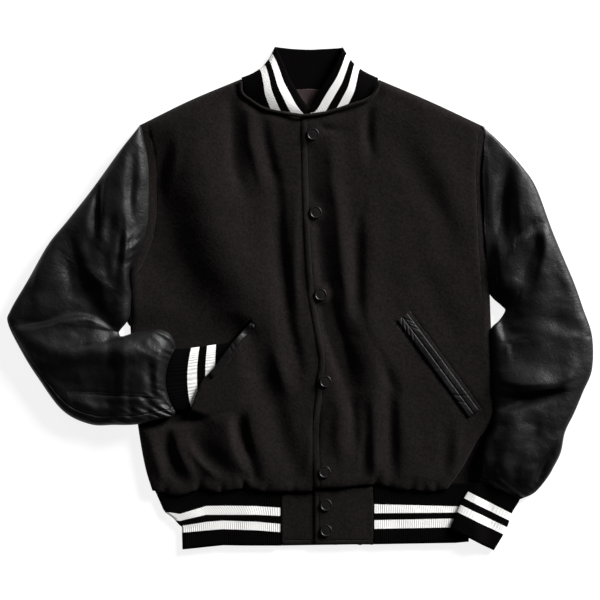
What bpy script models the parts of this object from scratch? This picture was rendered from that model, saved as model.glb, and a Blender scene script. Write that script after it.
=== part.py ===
"""A varsity jacket laid face up: wool body, leather sleeves, striped rib collar, cuffs and waistband.

The wearer's right arm is bent, so that its cuff lies in the right-hand pocket. Metres, +Z up. +Y points to the
collar and +X to the wearer's left. The cloth rests on z = 0, and the origin is under the middle of the jacket.
"""

import math
from collections import namedtuple

import bpy
import numpy as np
from mathutils import Vector
from mathutils.bvhtree import BVHTree
from mathutils.geometry import delaunay_2d_cdt

# Cloth thicknesses, and the gaps that are left at seams. The elbow gap is a share of the step between two
# sections, and the seat is the gap under a piece that lies on another.
WOOL = 0.0024
LEATHER = 0.0018
RIB = 0.0030
CUFF_WALL = 0.0018
SATIN = 0.0010
SEAM = 0.0005
ARMHOLE_GAP = 0.0010
ELBOW_GAP = 0.03
SEAT = 0.0003

# Heights of the body's outer face above the surface that the jacket lies on.
CROWN = 0.0125
SIDE_EDGE = 0.0054
HEM_EDGE = 0.0102
HEM_RISE_Y = -0.235
HEM_RISE = 0.025
SEAM_HEIGHT = 0.0110
LOWEST = 2 * WOOL + 0.0012
LAP = WOOL + 0.0022
LAP_CLEAR = 0.006
LAP_SLOPE = 0.030
EDGE_ROUND = 0.011
SEAM_DIP = 0.020
FOLD_FADE = 0.030

# The arm in the pocket presses the front down, and the pocket's outer side lies over the cuff.
PRESSED = 0.0080
PRESS_CLEAR = 0.004
PRESS_SLOPE = 0.014
ARM_REST = 0.0088
POCKET_COVER = 0.0205
COVER_CLEAR = 0.006
COVER_SLOPE = 0.030
COVER_ENDS = (0.16, 0.10)
BAND_REST = 0.0080

# Snap caps, pocket welts and the neckline's piping. A welt's lift is its height over the panel's facets.
SNAP_RADIUS = 0.0085
SNAP_HEIGHT = 0.0028
SNAP_ROUND = 16
WELT_WIDTH = 0.0085
WELT_THICKNESS = 0.0015
CLOSED_WELT_LIFT = 0.0008
OPEN_WELT_LIFT = 0.0011
OPEN_WELT_BACK = 0.002
PIPING_RADIUS = 0.0022
PIPING_LIFT = 0.0029

# Mesh spacing of the panels: across the body, and along it, because most folds run down the body.
ACROSS = 0.017
ALONG = 0.030
BACK_COARSE = 3.0
INSET = 0.006
STRIP_SPACING = 0.014
PIPING_SPACING = 0.012
ARMHOLE_SPACING = 0.004

# Seams and edges in plan, from the collar down. Each is a short list of (x, y).
RIGHT_SHOULDER = [(-0.086, 0.320), (-0.160, 0.289), (-0.233, 0.253)]
LEFT_SHOULDER = [(0.115, 0.319), (0.188, 0.288), (0.265, 0.252)]
RIGHT_NECK = [
    (-0.086, 0.320),
    (-0.084, 0.300),
    (-0.070, 0.288),
    (-0.051, 0.277),
    (-0.025, 0.271),
    (0.001, 0.267),
]
LEFT_NECK = [(0.001, 0.267), (0.033, 0.270), (0.070, 0.281), (0.097, 0.290), (0.110, 0.302), (0.115, 0.319)]
BACK_NECK = [(-0.086, 0.320), (-0.036, 0.306), (0.012, 0.303), (0.065, 0.306), (0.115, 0.319)]
RIGHT_ARMHOLE = [
    (-0.233, 0.253),
    (-0.222, 0.206),
    (-0.220, 0.160),
    (-0.223, 0.102),
    (-0.238, 0.060),
    (-0.249, 0.044),
]
LEFT_ARMHOLE = [(0.265, 0.252), (0.269, 0.240), (0.266, 0.180), (0.269, 0.100), (0.271, 0.060), (0.275, 0.010)]
RIGHT_SIDE = [
    (-0.249, 0.044),
    (-0.246, -0.036),
    (-0.242, -0.116),
    (-0.235, -0.181),
    (-0.225, -0.239),
    (-0.214, -0.276),
]
LEFT_SIDE_UPPER = [(0.275, 0.010), (0.277, -0.041), (0.281, -0.116), (0.282, -0.168)]
LEFT_SIDE = LEFT_SIDE_UPPER + [(0.256, -0.206), (0.236, -0.242), (0.213, -0.274)]
BACK_LEFT_SIDE = LEFT_SIDE_UPPER + [(0.260, -0.203), (0.244, -0.2672)]
RIGHT_HEM = [
    (-0.214, -0.276),
    (-0.174, -0.283),
    (-0.144, -0.274),
    (-0.118, -0.279),
    (-0.080, -0.273),
    (-0.050, -0.278),
    (0.016, -0.278),
]
LEFT_HEM = [
    (0.020, -0.273),
    (0.060, -0.272),
    (0.109, -0.268),
    (0.140, -0.274),
    (0.190, -0.278),
    (0.213, -0.274),
]
BACK_HEM_Y = -0.267
BACK_RIGHT_CORNER = (-0.2165, BACK_HEM_Y)
FRONT_EDGE = [
    (0.001, 0.267),
    (0.004, 0.135),
    (0.010, 0.023),
    (0.024, -0.064),
    (0.027, -0.097),
    (0.019, -0.180),
    (0.020, -0.273),
]
UNDERLAP = 0.032
UNDERLAP_TOP_Y = 0.2685
UNDERLAP_HEM_Y = -0.2715
HEM_STEP = (0.019, -0.2725)

# The right-hand pocket mouth, open round the cuff, and the left-hand one, closed.
RIGHT_POCKET = [
    (-0.070, -0.028),
    (-0.100, -0.061),
    (-0.126, -0.097),
    (-0.143, -0.116),
    (-0.157, -0.149),
    (-0.166, -0.172),
]
LEFT_POCKET = [(0.148, -0.024), (0.200, -0.094), (0.252, -0.165)]
MOUTH = 0.0016
WELT_ROWS = 4
ARM_ON_BODY = [
    (-0.320, -0.060),
    (-0.190, -0.040),
    (-0.176, -0.064),
    (-0.100, -0.058),
    (-0.098, -0.148),
    (-0.176, -0.170),
    (-0.320, -0.185),
]
CUFF_IN_POCKET = [(-0.172, -0.068), (-0.098, -0.059), (-0.096, -0.147), (-0.172, -0.162)]

# Largest folds: the path, how far the fold reaches to each side, and its height (below zero for a trough).
Fold = namedtuple("Fold", "path reach height")
BODY_FOLDS = [
    Fold([(-0.083, 0.284), (-0.087, 0.240), (-0.094, 0.184)], 0.010, -0.005),
    Fold([(-0.107, 0.270), (-0.108, 0.150)], 0.014, 0.004),
    Fold([(-0.117, 0.223), (-0.107, 0.090), (-0.077, 0.046), (-0.044, -0.020)], 0.022, 0.005),
    Fold([(-0.022, 0.171), (-0.013, 0.029), (-0.004, -0.116)], 0.010, -0.005),
    Fold([(-0.177, 0.215), (-0.194, 0.157)], 0.014, -0.003),
    Fold([(-0.200, 0.060), (-0.110, -0.025)], 0.035, -0.004),
    Fold([(0.031, 0.206), (0.041, 0.087), (0.053, 0.000), (0.083, -0.087), (0.094, -0.120)], 0.012, -0.005),
    Fold([(0.110, 0.267), (0.110, 0.204)], 0.010, -0.004),
    Fold([(0.091, 0.099), (0.091, -0.044)], 0.011, -0.003),
    Fold([(0.075, 0.200), (0.075, -0.030)], 0.014, 0.004),
    Fold([(0.163, 0.235), (0.206, 0.141), (0.219, 0.088)], 0.015, -0.002),
    Fold([(-0.102, -0.170), (-0.099, -0.210), (-0.084, -0.247), (-0.075, -0.268)], 0.009, 0.006),
    Fold([(-0.206, -0.200), (-0.191, -0.255)], 0.010, 0.004),
    Fold([(-0.164, -0.233), (-0.136, -0.268)], 0.009, 0.004),
    Fold([(0.054, -0.150), (0.054, -0.250)], 0.013, 0.003),
    Fold([(0.100, -0.200), (0.100, -0.260)], 0.010, -0.003),
    Fold([(0.122, -0.145), (0.122, -0.261)], 0.010, 0.005),
    Fold([(0.140, -0.150), (0.140, -0.258)], 0.010, -0.003),
]
RIGHT_SLEEVE_FOLDS = [
    Fold([(-0.290, 0.174), (-0.283, 0.087)], 0.010, -0.007),
    Fold([(-0.243, 0.220), (-0.243, 0.120)], 0.009, -0.004),
    Fold([(-0.331, 0.080), (-0.302, 0.015)], 0.012, 0.004),
    Fold([(-0.302, 0.022), (-0.278, -0.030)], 0.014, -0.007),
    Fold([(-0.421, -0.041), (-0.373, -0.035), (-0.319, -0.023)], 0.010, -0.008),
    Fold([(-0.319, -0.023), (-0.300, -0.027), (-0.262, -0.051)], 0.010, -0.005),
    Fold([(-0.344, -0.073), (-0.296, -0.059), (-0.240, -0.052)], 0.009, -0.005),
]
LEFT_SLEEVE_FOLDS = [
    Fold([(0.310, 0.181), (0.310, 0.087)], 0.011, -0.009),
    Fold([(0.363, 0.106), (0.336, 0.102), (0.310, 0.084)], 0.009, -0.005),
    Fold([(0.346, 0.078), (0.333, 0.045)], 0.010, -0.007),
    Fold([(0.290, -0.126), (0.371, -0.129)], 0.010, -0.009),
]

# Sleeves: a row for each section from the armhole to the cuff seam. The outer edge is the back of the arm, the
# height is above what the sleeve rests on, cap is how far the section follows the armhole, and seam is how far
# the under sleeve comes round the outer edge. Bow bends the section in plan, towards the cuff.
Section = namedtuple("Section", "outer_x outer_y inner_x inner_y height cap seam bow")
RIGHT_SLEEVE = [
    Section(-0.233, 0.252, -0.249, 0.044, 0.0105, 1.0, 0.00, 0.0),
    Section(-0.249, 0.231, -0.2505, 0.038, 0.0230, 0.6, 0.00, 0.0),
    Section(-0.268, 0.207, -0.2505, 0.030, 0.0280, 0.2, 0.00, 0.0),
    Section(-0.303, 0.158, -0.2505, 0.022, 0.0300, 0.0, 0.00, 0.0),
    Section(-0.336, 0.116, -0.2505, 0.012, 0.0300, 0.0, 0.00, 0.0),
    Section(-0.365, 0.080, -0.2505, 0.002, 0.0290, 0.0, 0.00, 0.0),
    Section(-0.394, 0.029, -0.2530, -0.020, 0.0280, 0.0, 0.00, 0.0),
    Section(-0.419, -0.014, -0.2600, -0.040, 0.0270, 0.0, 0.02, 0.0),
    Section(-0.423, -0.034, -0.2620, -0.047, 0.0260, 0.0, 0.04, 0.0),
    Section(-0.403, -0.075, -0.2600, -0.052, 0.0290, 0.0, 0.06, 0.0),
    Section(-0.380, -0.112, -0.2550, -0.052, 0.0310, 0.0, 0.08, 0.0),
    Section(-0.344, -0.160, -0.2460, -0.049, 0.0320, 0.0, 0.10, 0.0),
    Section(-0.304, -0.180, -0.2350, -0.046, 0.0320, 0.0, 0.11, 0.0),
    Section(-0.268, -0.181, -0.2220, -0.044, 0.0310, 0.0, 0.11, 0.0),
    Section(-0.235, -0.180, -0.2060, -0.042, 0.0290, 0.0, 0.11, -0.004),
    Section(-0.206, -0.173, -0.1910, -0.047, 0.0250, 0.0, 0.11, -0.008),
    Section(-0.184, -0.169, -0.1820, -0.057, 0.0180, 0.0, 0.11, -0.013),
    Section(-0.178, -0.162, -0.1780, -0.070, 0.0090, 0.0, 0.11, -0.012),
]
LEFT_SLEEVE = [
    Section(0.265, 0.252, 0.275, 0.010, 0.0105, 1.0, 0.00, 0.0),
    Section(0.280, 0.238, 0.2790, 0.003, 0.0230, 0.6, 0.00, 0.0),
    Section(0.297, 0.222, 0.2825, -0.001, 0.0280, 0.2, 0.00, 0.0),
    Section(0.322, 0.193, 0.2880, -0.005, 0.0300, 0.0, 0.00, 0.0),
    Section(0.342, 0.163, 0.2935, -0.010, 0.0300, 0.0, 0.00, 0.0),
    Section(0.364, 0.104, 0.2970, -0.014, 0.0290, 0.0, 0.00, 0.0),
    Section(0.380, 0.065, 0.2950, -0.020, 0.0280, 0.0, 0.00, 0.0),
    Section(0.397, 0.025, 0.2880, -0.030, 0.0280, 0.0, 0.00, 0.0),
    Section(0.410, -0.012, 0.2795, -0.042, 0.0280, 0.0, 0.00, 0.0),
    Section(0.423, -0.052, 0.2800, -0.062, 0.0290, 0.0, 0.02, 0.0),
    Section(0.423, -0.100, 0.2825, -0.105, 0.0290, 0.0, 0.04, 0.0),
    Section(0.410, -0.133, 0.2835, -0.138, 0.0280, 0.0, 0.05, 0.0),
    Section(0.397, -0.164, 0.2845, -0.162, 0.0290, 0.0, 0.06, 0.0),
    Section(0.384, -0.191, 0.2770, -0.186, 0.0290, 0.0, 0.07, 0.0),
    Section(0.378, -0.220, 0.2680, -0.204, 0.0280, 0.0, 0.07, 0.0),
    Section(0.368, -0.241, 0.2640, -0.222, 0.0270, 0.0, 0.07, 0.0),
    Section(0.358, -0.258, 0.2630, -0.238, 0.0250, 0.0, 0.07, 0.0),
    Section(0.340, -0.279, 0.2630, -0.250, 0.0190, 0.0, 0.07, 0.0),
    Section(0.319, -0.289, 0.2600, -0.262, 0.0090, 0.0, 0.07, 0.0),
]
RIGHT_ELBOW = 5
LEFT_ELBOW = 9
RIGHT_CUFF = [
    Section(-0.1766, -0.161, -0.1766, -0.071, 0.0080, 0.0, 0.0, -0.0115),
    Section(-0.160, -0.157, -0.160, -0.070, 0.0078, 0.0, 0.0, -0.006),
    Section(-0.138, -0.152, -0.138, -0.067, 0.0076, 0.0, 0.0, -0.003),
    Section(-0.102, -0.145, -0.102, -0.062, 0.0076, 0.0, 0.0, 0.0),
]
LEFT_CUFF = [
    Section(0.3182, -0.2902, 0.2590, -0.2632, 0.0085, 0.0, 0.0, 0.0),
    Section(0.307, -0.309, 0.244, -0.277, 0.0080, 0.0, 0.0, 0.0),
    Section(0.299, -0.332, 0.231, -0.299, 0.0080, 0.0, 0.0, 0.0),
    Section(0.281, -0.363, 0.217, -0.331, 0.0080, 0.0, 0.0, 0.0),
]
# A section is flat below and rounded above: its sides turn at this height, or at this share of a low section,
# and the three powers square it off across, over the top and underneath.
SIDE_HEIGHT = 0.009
SIDE_SHARE = 0.35
ACROSS_POWER = 0.8
TOP_POWER = 0.75
UNDER_POWER = 0.3
TOP_POINTS = 12
UNDER_POINTS = 10
SEAM_CROWDING = 0.8
SEAM_TURN = 0.004
CUFF_ROUND = 16

# Where a sleeve climbs on to the body: it starts to rise at the first x and is fully up at the second.
Rest = namedtuple("Rest", "start full height")
RIGHT_REST = Rest(-0.280, -0.252, ARM_REST)
LEFT_REST = Rest(0.276, 0.252, BAND_REST)

# Collar: a row for each station of the band, from its right end round the back of the neck to its left end.
CollarRow = namedtuple("CollarRow", "base_x base_y base_z top_x top_y top_z")
COLLAR = [
    CollarRow(0.009, 0.2685, 0.0090, 0.013, 0.279, 0.0088),
    CollarRow(-0.022, 0.2730, 0.0090, 0.003, 0.291, 0.0090),
    CollarRow(-0.046, 0.2780, 0.0090, -0.006, 0.306, 0.0092),
    CollarRow(-0.067, 0.2900, 0.0090, -0.016, 0.323, 0.0092),
    CollarRow(-0.080, 0.3020, 0.0086, -0.025, 0.345, 0.0088),
    CollarRow(-0.0835, 0.3160, 0.0078, -0.033, 0.362, 0.0078),
    CollarRow(-0.0840, 0.3215, 0.0048, -0.035, 0.366, 0.0048),
    CollarRow(-0.0800, 0.3200, 0.0020, -0.029, 0.366, 0.0020),
    CollarRow(-0.036, 0.3070, 0.0016, -0.010, 0.364, 0.0016),
    CollarRow(0.012, 0.3040, 0.0016, 0.014, 0.363, 0.0016),
    CollarRow(0.065, 0.3070, 0.0016, 0.036, 0.364, 0.0016),
    CollarRow(0.1085, 0.3190, 0.0020, 0.055, 0.365, 0.0020),
    CollarRow(0.1125, 0.3205, 0.0048, 0.061, 0.365, 0.0048),
    CollarRow(0.1120, 0.3160, 0.0078, 0.060, 0.361, 0.0078),
    CollarRow(0.1070, 0.3030, 0.0086, 0.054, 0.345, 0.0088),
    CollarRow(0.0940, 0.2930, 0.0090, 0.045, 0.328, 0.0092),
    CollarRow(0.067, 0.2830, 0.0090, 0.034, 0.312, 0.0092),
    CollarRow(0.042, 0.2745, 0.0090, 0.025, 0.298, 0.0090),
    CollarRow(0.014, 0.2700, 0.0090, 0.017, 0.283, 0.0088),
]
LINING = [(-0.040, 0.300), (0.012, 0.298), (0.064, 0.300), (0.052, 0.274), (0.012, 0.258), (-0.028, 0.274)]

# Waistband: where its side folds lie at each height of the rib, from the hem seam down, and its lower edge.
BandRow = namedtuple("BandRow", "down right_x left_x")
BAND = [
    BandRow(0.00, -0.212, 0.246),
    BandRow(0.35, -0.192, 0.246),
    BandRow(0.60, -0.171, 0.245),
    BandRow(1.00, -0.169, 0.243),
]
BAND_TOP = -0.2690
BAND_BOTTOM = [
    (-0.169, -0.361),
    (-0.112, -0.356),
    (-0.030, -0.356),
    (0.107, -0.354),
    (0.220, -0.352),
    (0.243, -0.350),
]
BAND_FRONT = 0.0060
BAND_BACK = 0.0016
RIGHT_TAB = (-0.028, 0.054)
LEFT_TAB = (0.0205, 0.107)
TAB_BOTTOM = -0.3545
RIGHT_TAB_TOP = -0.2790
RIGHT_TAB_HEIGHT = 0.0069
LEFT_TAB_TOP = -0.2740
LEFT_TAB_HEIGHT = 0.0098
# The left tab steps down past the right one's end, and its top edge rises with the hem.
LEFT_TAB_DROP = 0.0022
LEFT_TAB_RISE = 0.0045

SNAPS = [
    (0.019, 0.240),
    (0.023, 0.127),
    (0.030, 0.008),
    (0.037, -0.118),
    (0.036, -0.249),
    (0.038, -0.297),
    (0.038, -0.334),
]
FRONT_SNAPS = 5

# Finish of each material: colour, roughness, metallic.
Finish = namedtuple("Finish", "colour roughness metallic")
FINISHES = {
    "wool_melton": Finish((0.012, 0.010, 0.010), 0.95, 0.0),
    "sleeve_leather": Finish((0.016, 0.014, 0.014), 0.42, 0.0),
    "rib_knit": Finish((0.010, 0.008, 0.008), 0.90, 0.0),
    "lining_satin": Finish((0.035, 0.020, 0.020), 0.45, 0.0),
    "snap_enamel": Finish((0.012, 0.012, 0.012), 0.35, 0.6),
}


def clear_scene():
    for obj in list(bpy.data.objects):
        bpy.data.objects.remove(obj, do_unlink=True)


def smoothstep(value):
    value = np.clip(value, 0.0, 1.0)
    return value * value * (3.0 - 2.0 * value)


def through(rows, place):
    """A row read at a place between the table's rows, on a smooth curve through them."""
    rows = np.asarray(rows, float)
    last = len(rows) - 1
    first = int(min(max(math.floor(place), 0), last - 1)) if last else 0
    part = place - first
    before, start, end, after = (rows[min(max(first + step, 0), last)] for step in (-1, 0, 1, 2))
    leave = (end - before) / 2 if first > 0 else end - start
    arrive = (after - start) / 2 if first < last - 1 else end - start
    square, cube = part**2, part**3
    return (
        (2 * cube - 3 * square + 1) * start
        + (cube - 2 * square + part) * leave
        + (3 * square - 2 * cube) * end
        + (cube - square) * arrive
    )


def line(points, spacing):
    """Points at an even spacing along a smooth line through the given ones."""
    fine = np.array([through(points, place) for place in np.linspace(0, len(points) - 1, 12 * len(points))])
    run = np.concatenate([[0], np.cumsum(np.linalg.norm(np.diff(fine, axis=0), axis=1))])
    count = max(1, round(run[-1] / spacing))
    at = np.linspace(0, run[-1], count + 1)
    return np.stack([np.interp(at, run, fine[:, axis]) for axis in range(2)], axis=1)


def to_line(points, path):
    """Each point's distance to a line, the share of the line run at its nearest place, and its side of it."""
    points, path = np.asarray(points, float)[:, None, :], np.asarray(path, float)
    start, step = path[:-1], np.diff(path, axis=0)
    length = np.linalg.norm(step, axis=1)
    run = np.concatenate([[0], np.cumsum(length)])
    share = np.clip(((points - start) * step).sum(2) / length**2, 0, 1)
    offset = points - (start + share[..., None] * step)
    gaps = np.linalg.norm(offset, axis=2)
    nearest = gaps.argmin(axis=1)
    row = np.arange(len(nearest))
    side = step[nearest, 0] * offset[row, nearest, 1] - step[nearest, 1] * offset[row, nearest, 0]
    place = (run[nearest] + share[row, nearest] * length[nearest]) / run[-1]
    return gaps[row, nearest], place, np.sign(side)


def inside(points, outline):
    """Which points lie inside a closed outline."""
    points, outline = np.asarray(points, float), np.asarray(outline, float)
    found = np.zeros(len(points), bool)
    for (ax, ay), (bx, by) in zip(outline, np.roll(outline, -1, axis=0)):
        crosses = (ay > points[:, 1]) != (by > points[:, 1])
        with np.errstate(divide="ignore", invalid="ignore"):
            at = (bx - ax) * (points[:, 1] - ay) / (by - ay) + ax
        found ^= crosses & (points[:, 0] < at)
    return found


def outside_by(points, outline):
    """How far each point lies outside a closed outline, zero within it."""
    closed = list(outline) + [outline[0]]
    return np.where(inside(points, outline), 0.0, to_line(points, closed)[0])


def folded(points, folds):
    """The height that the folds add at each point, each one a soft ridge or trough that fades at its ends."""
    total = np.zeros(len(points))
    for fold in folds:
        gap, _, _ = to_line(points, fold.path)
        total += fold.height * np.exp(-((gap / fold.reach) ** 2) * 1.6)
    return total


def body_height(points):
    """Height of the fronts' outer face. It rounds down at the free edges and dips to the sewn ones."""
    points = np.asarray(points, float)
    free = [RIGHT_SHOULDER, LEFT_SHOULDER, RIGHT_SIDE, LEFT_SIDE, RIGHT_HEM, LEFT_HEM]
    sewn = [RIGHT_ARMHOLE, LEFT_ARMHOLE, RIGHT_NECK, LEFT_NECK]
    edge = np.min([to_line(points, line(path, ACROSS))[0] for path in free], axis=0)
    seam = np.min([to_line(points, line(path, ACROSS))[0] for path in sewn], axis=0)
    low = SIDE_EDGE + (HEM_EDGE - SIDE_EDGE) * smoothstep((HEM_RISE_Y - points[:, 1]) / HEM_RISE)
    inner = CROWN + folded(points, BODY_FOLDS) * smoothstep(edge / FOLD_FADE)
    inner = SEAM_HEIGHT + (inner - SEAM_HEIGHT) * smoothstep(seam / SEAM_DIP)
    inner = np.maximum(inner, LOWEST)
    arm = smoothstep(1.0 - (outside_by(points, ARM_ON_BODY) - PRESS_CLEAR) / PRESS_SLOPE)
    inner = inner + (PRESSED - inner) * arm * (points[:, 0] < 0)
    turn = np.clip(edge / EDGE_ROUND, 0, 1)
    return low + np.maximum(inner - low, 0) * np.sqrt(1 - (1 - turn) ** 2)


def pocket_cover(points):
    """How far the pocket's outer side is lifted over the cuff, from 0 to 1."""
    gap, place, side = to_line(points, RIGHT_POCKET)
    ends = smoothstep(np.minimum(place / COVER_ENDS[0], (1 - place) / COVER_ENDS[1]))
    over = smoothstep(1.0 - (outside_by(points, CUFF_IN_POCKET) - COVER_CLEAR) / COVER_SLOPE)
    return np.where(side > 0, over * ends, 0.0)


def right_front_height(points):
    height = body_height(points)
    return height + (POCKET_COVER - height) * pocket_cover(points)


def left_front_height(points):
    points = np.asarray(points, float)
    edge = to_line(points, line(FRONT_EDGE, ACROSS))[0]
    return body_height(points) + LAP * smoothstep(1.0 - (edge - UNDERLAP - LAP_CLEAR) / LAP_SLOPE)


def back_height(points):
    return np.full(len(points), WOOL)


def lining_height(points):
    return back_height(points) + SEAT + SATIN


def material(name):
    if name in bpy.data.materials:
        return bpy.data.materials[name]
    made = bpy.data.materials.new(name)
    made.use_nodes = True
    shader = made.node_tree.nodes["Principled BSDF"]
    shader.inputs["Base Color"].default_value = (*FINISHES[name].colour, 1.0)
    shader.inputs["Roughness"].default_value = FINISHES[name].roughness
    shader.inputs["Metallic"].default_value = FINISHES[name].metallic
    return made


def add_object(name, mesh, finish):
    obj = bpy.data.objects.new(name, mesh)
    mesh.materials.append(material(finish))
    mesh.shade_smooth()
    jacket.objects.link(obj)
    return obj


def thicken(obj, thickness, offset=-1.0):
    """Gives an open sheet its wall: below its outer face, or to both sides with an offset of 0."""
    wall = obj.modifiers.new("wall", "SOLIDIFY")
    wall.thickness = thickness
    wall.offset = offset
    wall.use_rim = True
    return obj


def panel(name, edges, height, thickness, finish, mouth=None, coarse=1.0):
    """A flat-cut panel: its edges in plan, joined head to tail, and a height at each point inside them."""
    wide, long = ACROSS * coarse, ALONG * coarse
    outline = np.concatenate([line(edge, ACROSS)[:-1] for edge in edges])
    holes = [] if mouth is None else [mouth]
    low, high = outline.min(axis=0), outline.max(axis=0)
    grid = []
    for row, y in enumerate(np.arange(low[1], high[1], long)):
        grid += [(x + (row % 2) * wide / 2, y) for x in np.arange(low[0], high[0], wide)]
    turned = np.roll(outline, -1, axis=0) - np.roll(outline, 1, axis=0)
    turned = turned / np.linalg.norm(turned, axis=1)[:, None]
    area = (outline[:, 0] * np.roll(outline[:, 1], -1) - np.roll(outline[:, 0], -1) * outline[:, 1]).sum()
    inward = np.stack([-turned[:, 1], turned[:, 0]], axis=1) * np.sign(area)
    ring = outline + inward * INSET
    closed = np.vstack([outline, outline[:1]])
    grid = np.array(grid)
    grid = grid[inside(grid, outline) & (to_line(grid, closed)[0] > INSET * 2)]
    ring = ring[inside(ring, outline) & (to_line(ring, closed)[0] > INSET * 0.8)]
    for hole in holes:
        rim = np.vstack([hole, hole[:1]])
        grid = grid[to_line(grid, rim)[0] > INSET]
        ring = ring[to_line(ring, rim)[0] > INSET]
    loops = [outline] + holes
    edges_in = []
    start = 0
    for loop in loops:
        edges_in += [(start + i, start + (i + 1) % len(loop)) for i in range(len(loop))]
        start += len(loop)
    points = np.concatenate(loops + [ring, grid])
    placed, _, faces, _, _, _ = delaunay_2d_cdt([Vector(p) for p in points], edges_in, [], 0, 1e-6)
    placed = np.array([tuple(p) for p in placed])
    faces = [tuple(face) for face in faces]
    middle = np.array([placed[list(face)].mean(axis=0) for face in faces])
    keep = inside(middle, outline)
    for hole in holes:
        keep &= ~inside(middle, hole)
    faces = [face for face, kept in zip(faces, keep) if kept]
    used = sorted({corner for face in faces for corner in face})
    index = {corner: i for i, corner in enumerate(used)}
    plan = placed[used]
    mesh = bpy.data.meshes.new(name)
    corners = [(x, y, z) for (x, y), z in zip(plan, height(plan))]
    mesh.from_pydata(corners, [], [[index[corner] for corner in face] for face in faces])
    mesh.update()
    if mesh.polygons[0].normal.z < 0:
        mesh.flip_normals()
    return thicken(add_object(name, mesh, finish), thickness)


def sheet(name, grid, thickness, finish, offset=-1.0, wrap=False):
    """A sheet through a grid of points, rows by columns, given its wall by Solidify."""
    rows, columns = len(grid), len(grid[0])
    across = columns if wrap else columns - 1
    corners = [tuple(point) for row in grid for point in row]
    faces = []
    for row in range(rows - 1):
        this, after = row * columns, (row + 1) * columns
        for column in range(across):
            right = (column + 1) % columns
            faces.append((this + column, this + right, after + right, after + column))
    mesh = bpy.data.meshes.new(name)
    mesh.from_pydata(corners, [], faces)
    mesh.update()
    return thicken(add_object(name, mesh, finish), thickness, offset)


def section_points(section, turns, armhole, rest, folds):
    """Points round one section: turn 0 is the outer edge, 0.25 the top, 0.5 the inner edge, 0.75 the bottom."""
    angle = 2 * math.pi * np.asarray(turns)
    level, rise = np.cos(angle), np.sin(angle)
    across = (1 - np.sign(level) * np.abs(level) ** ACROSS_POWER) / 2
    outer = np.array([section.outer_x, section.outer_y])
    inner = np.array([section.inner_x, section.inner_y])
    chord = inner - outer
    forward = np.array([chord[1], -chord[0]]) / np.linalg.norm(chord)
    forward = forward if forward[0] * np.sign(section.outer_x) < 0 else -forward
    plan = outer + chord * across[:, None] + forward * (section.bow * 4 * across * (1 - across))[:, None]
    if armhole is not None and section.cap > 0:
        curve = line(armhole, ARMHOLE_SPACING)
        run = np.linspace(0, 1, len(curve))
        sewn = np.stack([np.interp(across, run, curve[:, axis]) for axis in range(2)], axis=1)
        sewn[:, 0] += math.copysign(1, section.outer_x) * ARMHOLE_GAP * (1 + (2 * across - 1) ** 6)
        plan = plan + (sewn - plan) * section.cap
    side = min(SIDE_HEIGHT, section.height * SIDE_SHARE)
    top = side + (section.height - side) * np.abs(rise) ** TOP_POWER
    bottom = side * (1 - np.abs(rise) ** UNDER_POWER)
    lift = rest.height * smoothstep((plan[:, 0] - rest.start) / (rest.full - rest.start))
    height = np.where(rise >= 0, top, bottom) + lift
    height = height + np.where(rise > 0, folded(plan, folds) * rise * (1 - section.cap), 0.0)
    return np.column_stack([plan, height])


def sleeve_turns(part, section, count):
    """Turns across the top or the under piece, closer together near its two seams."""
    gap = SEAM_TURN * (1 + section.cap)
    share = np.linspace(0, 1, count)
    share = share - SEAM_CROWDING * np.sin(2 * math.pi * share) / (2 * math.pi)
    start, end = (section.seam, 0.5) if part == "top" else (0.5, 1 + section.seam)
    return start + gap + (end - start - 2 * gap) * share


def sleeve_rows(part, table, places, armhole, rest, folds):
    rows = []
    for place in places:
        section = Section(*through(table, place))
        turns = sleeve_turns(part, section, TOP_POINTS if part == "top" else UNDER_POINTS)
        rows.append(section_points(section, turns, armhole, rest, folds))
    return rows


def build_sleeve(side, table, elbow, armhole, rest, folds):
    """A top sleeve pieced above the elbow, and an under sleeve in one length."""
    turn = -1 if side == "right" else 1
    last = len(table) - 1
    upper = np.append(np.arange(0, elbow), elbow - ELBOW_GAP)
    lower = np.append(elbow + ELBOW_GAP, np.arange(elbow + 1, last + 1))
    pieces = [
        (f"sleeve_{side}_upper", "top", upper),
        (f"sleeve_{side}_lower", "top", lower),
        (f"under_sleeve_{side}", "under", np.arange(0, last + 1)),
    ]
    for name, part, places in pieces:
        rows = sleeve_rows(part, table, places, armhole, rest, folds)
        sheet(name, rows[::turn], LEATHER, "sleeve_leather")


def build_cuff(side, table, rest):
    turn = -1 if side == "right" else 1
    turns = np.arange(CUFF_ROUND) / CUFF_ROUND
    rows = []
    for place in np.linspace(0, len(table) - 1, 2 * len(table) - 1):
        rows.append(section_points(Section(*through(table, place)), turns, None, rest, []))
    sheet(f"cuff_{side}", rows[::turn], CUFF_WALL, "rib_knit", wrap=True)


def build_collar():
    rows = []
    for place in np.arange(0, len(COLLAR) - 0.9, 1.0):
        row = CollarRow(*through(COLLAR, place))
        base = np.array([row.base_x, row.base_y, row.base_z])
        top = np.array([row.top_x, row.top_y, row.top_z])
        rows.append([base + (top - base) * share for share in np.linspace(0, 1, 5)])
    sheet("collar", rows, RIB, "rib_knit", offset=0.0)


def band_edges(down):
    """Where the waistband's right and left folds lie, that far down the rib."""
    downs = [row.down for row in BAND]
    right = float(np.interp(down, downs, [row.right_x for row in BAND]))
    left = float(np.interp(down, downs, [row.left_x for row in BAND]))
    return right, left


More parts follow.
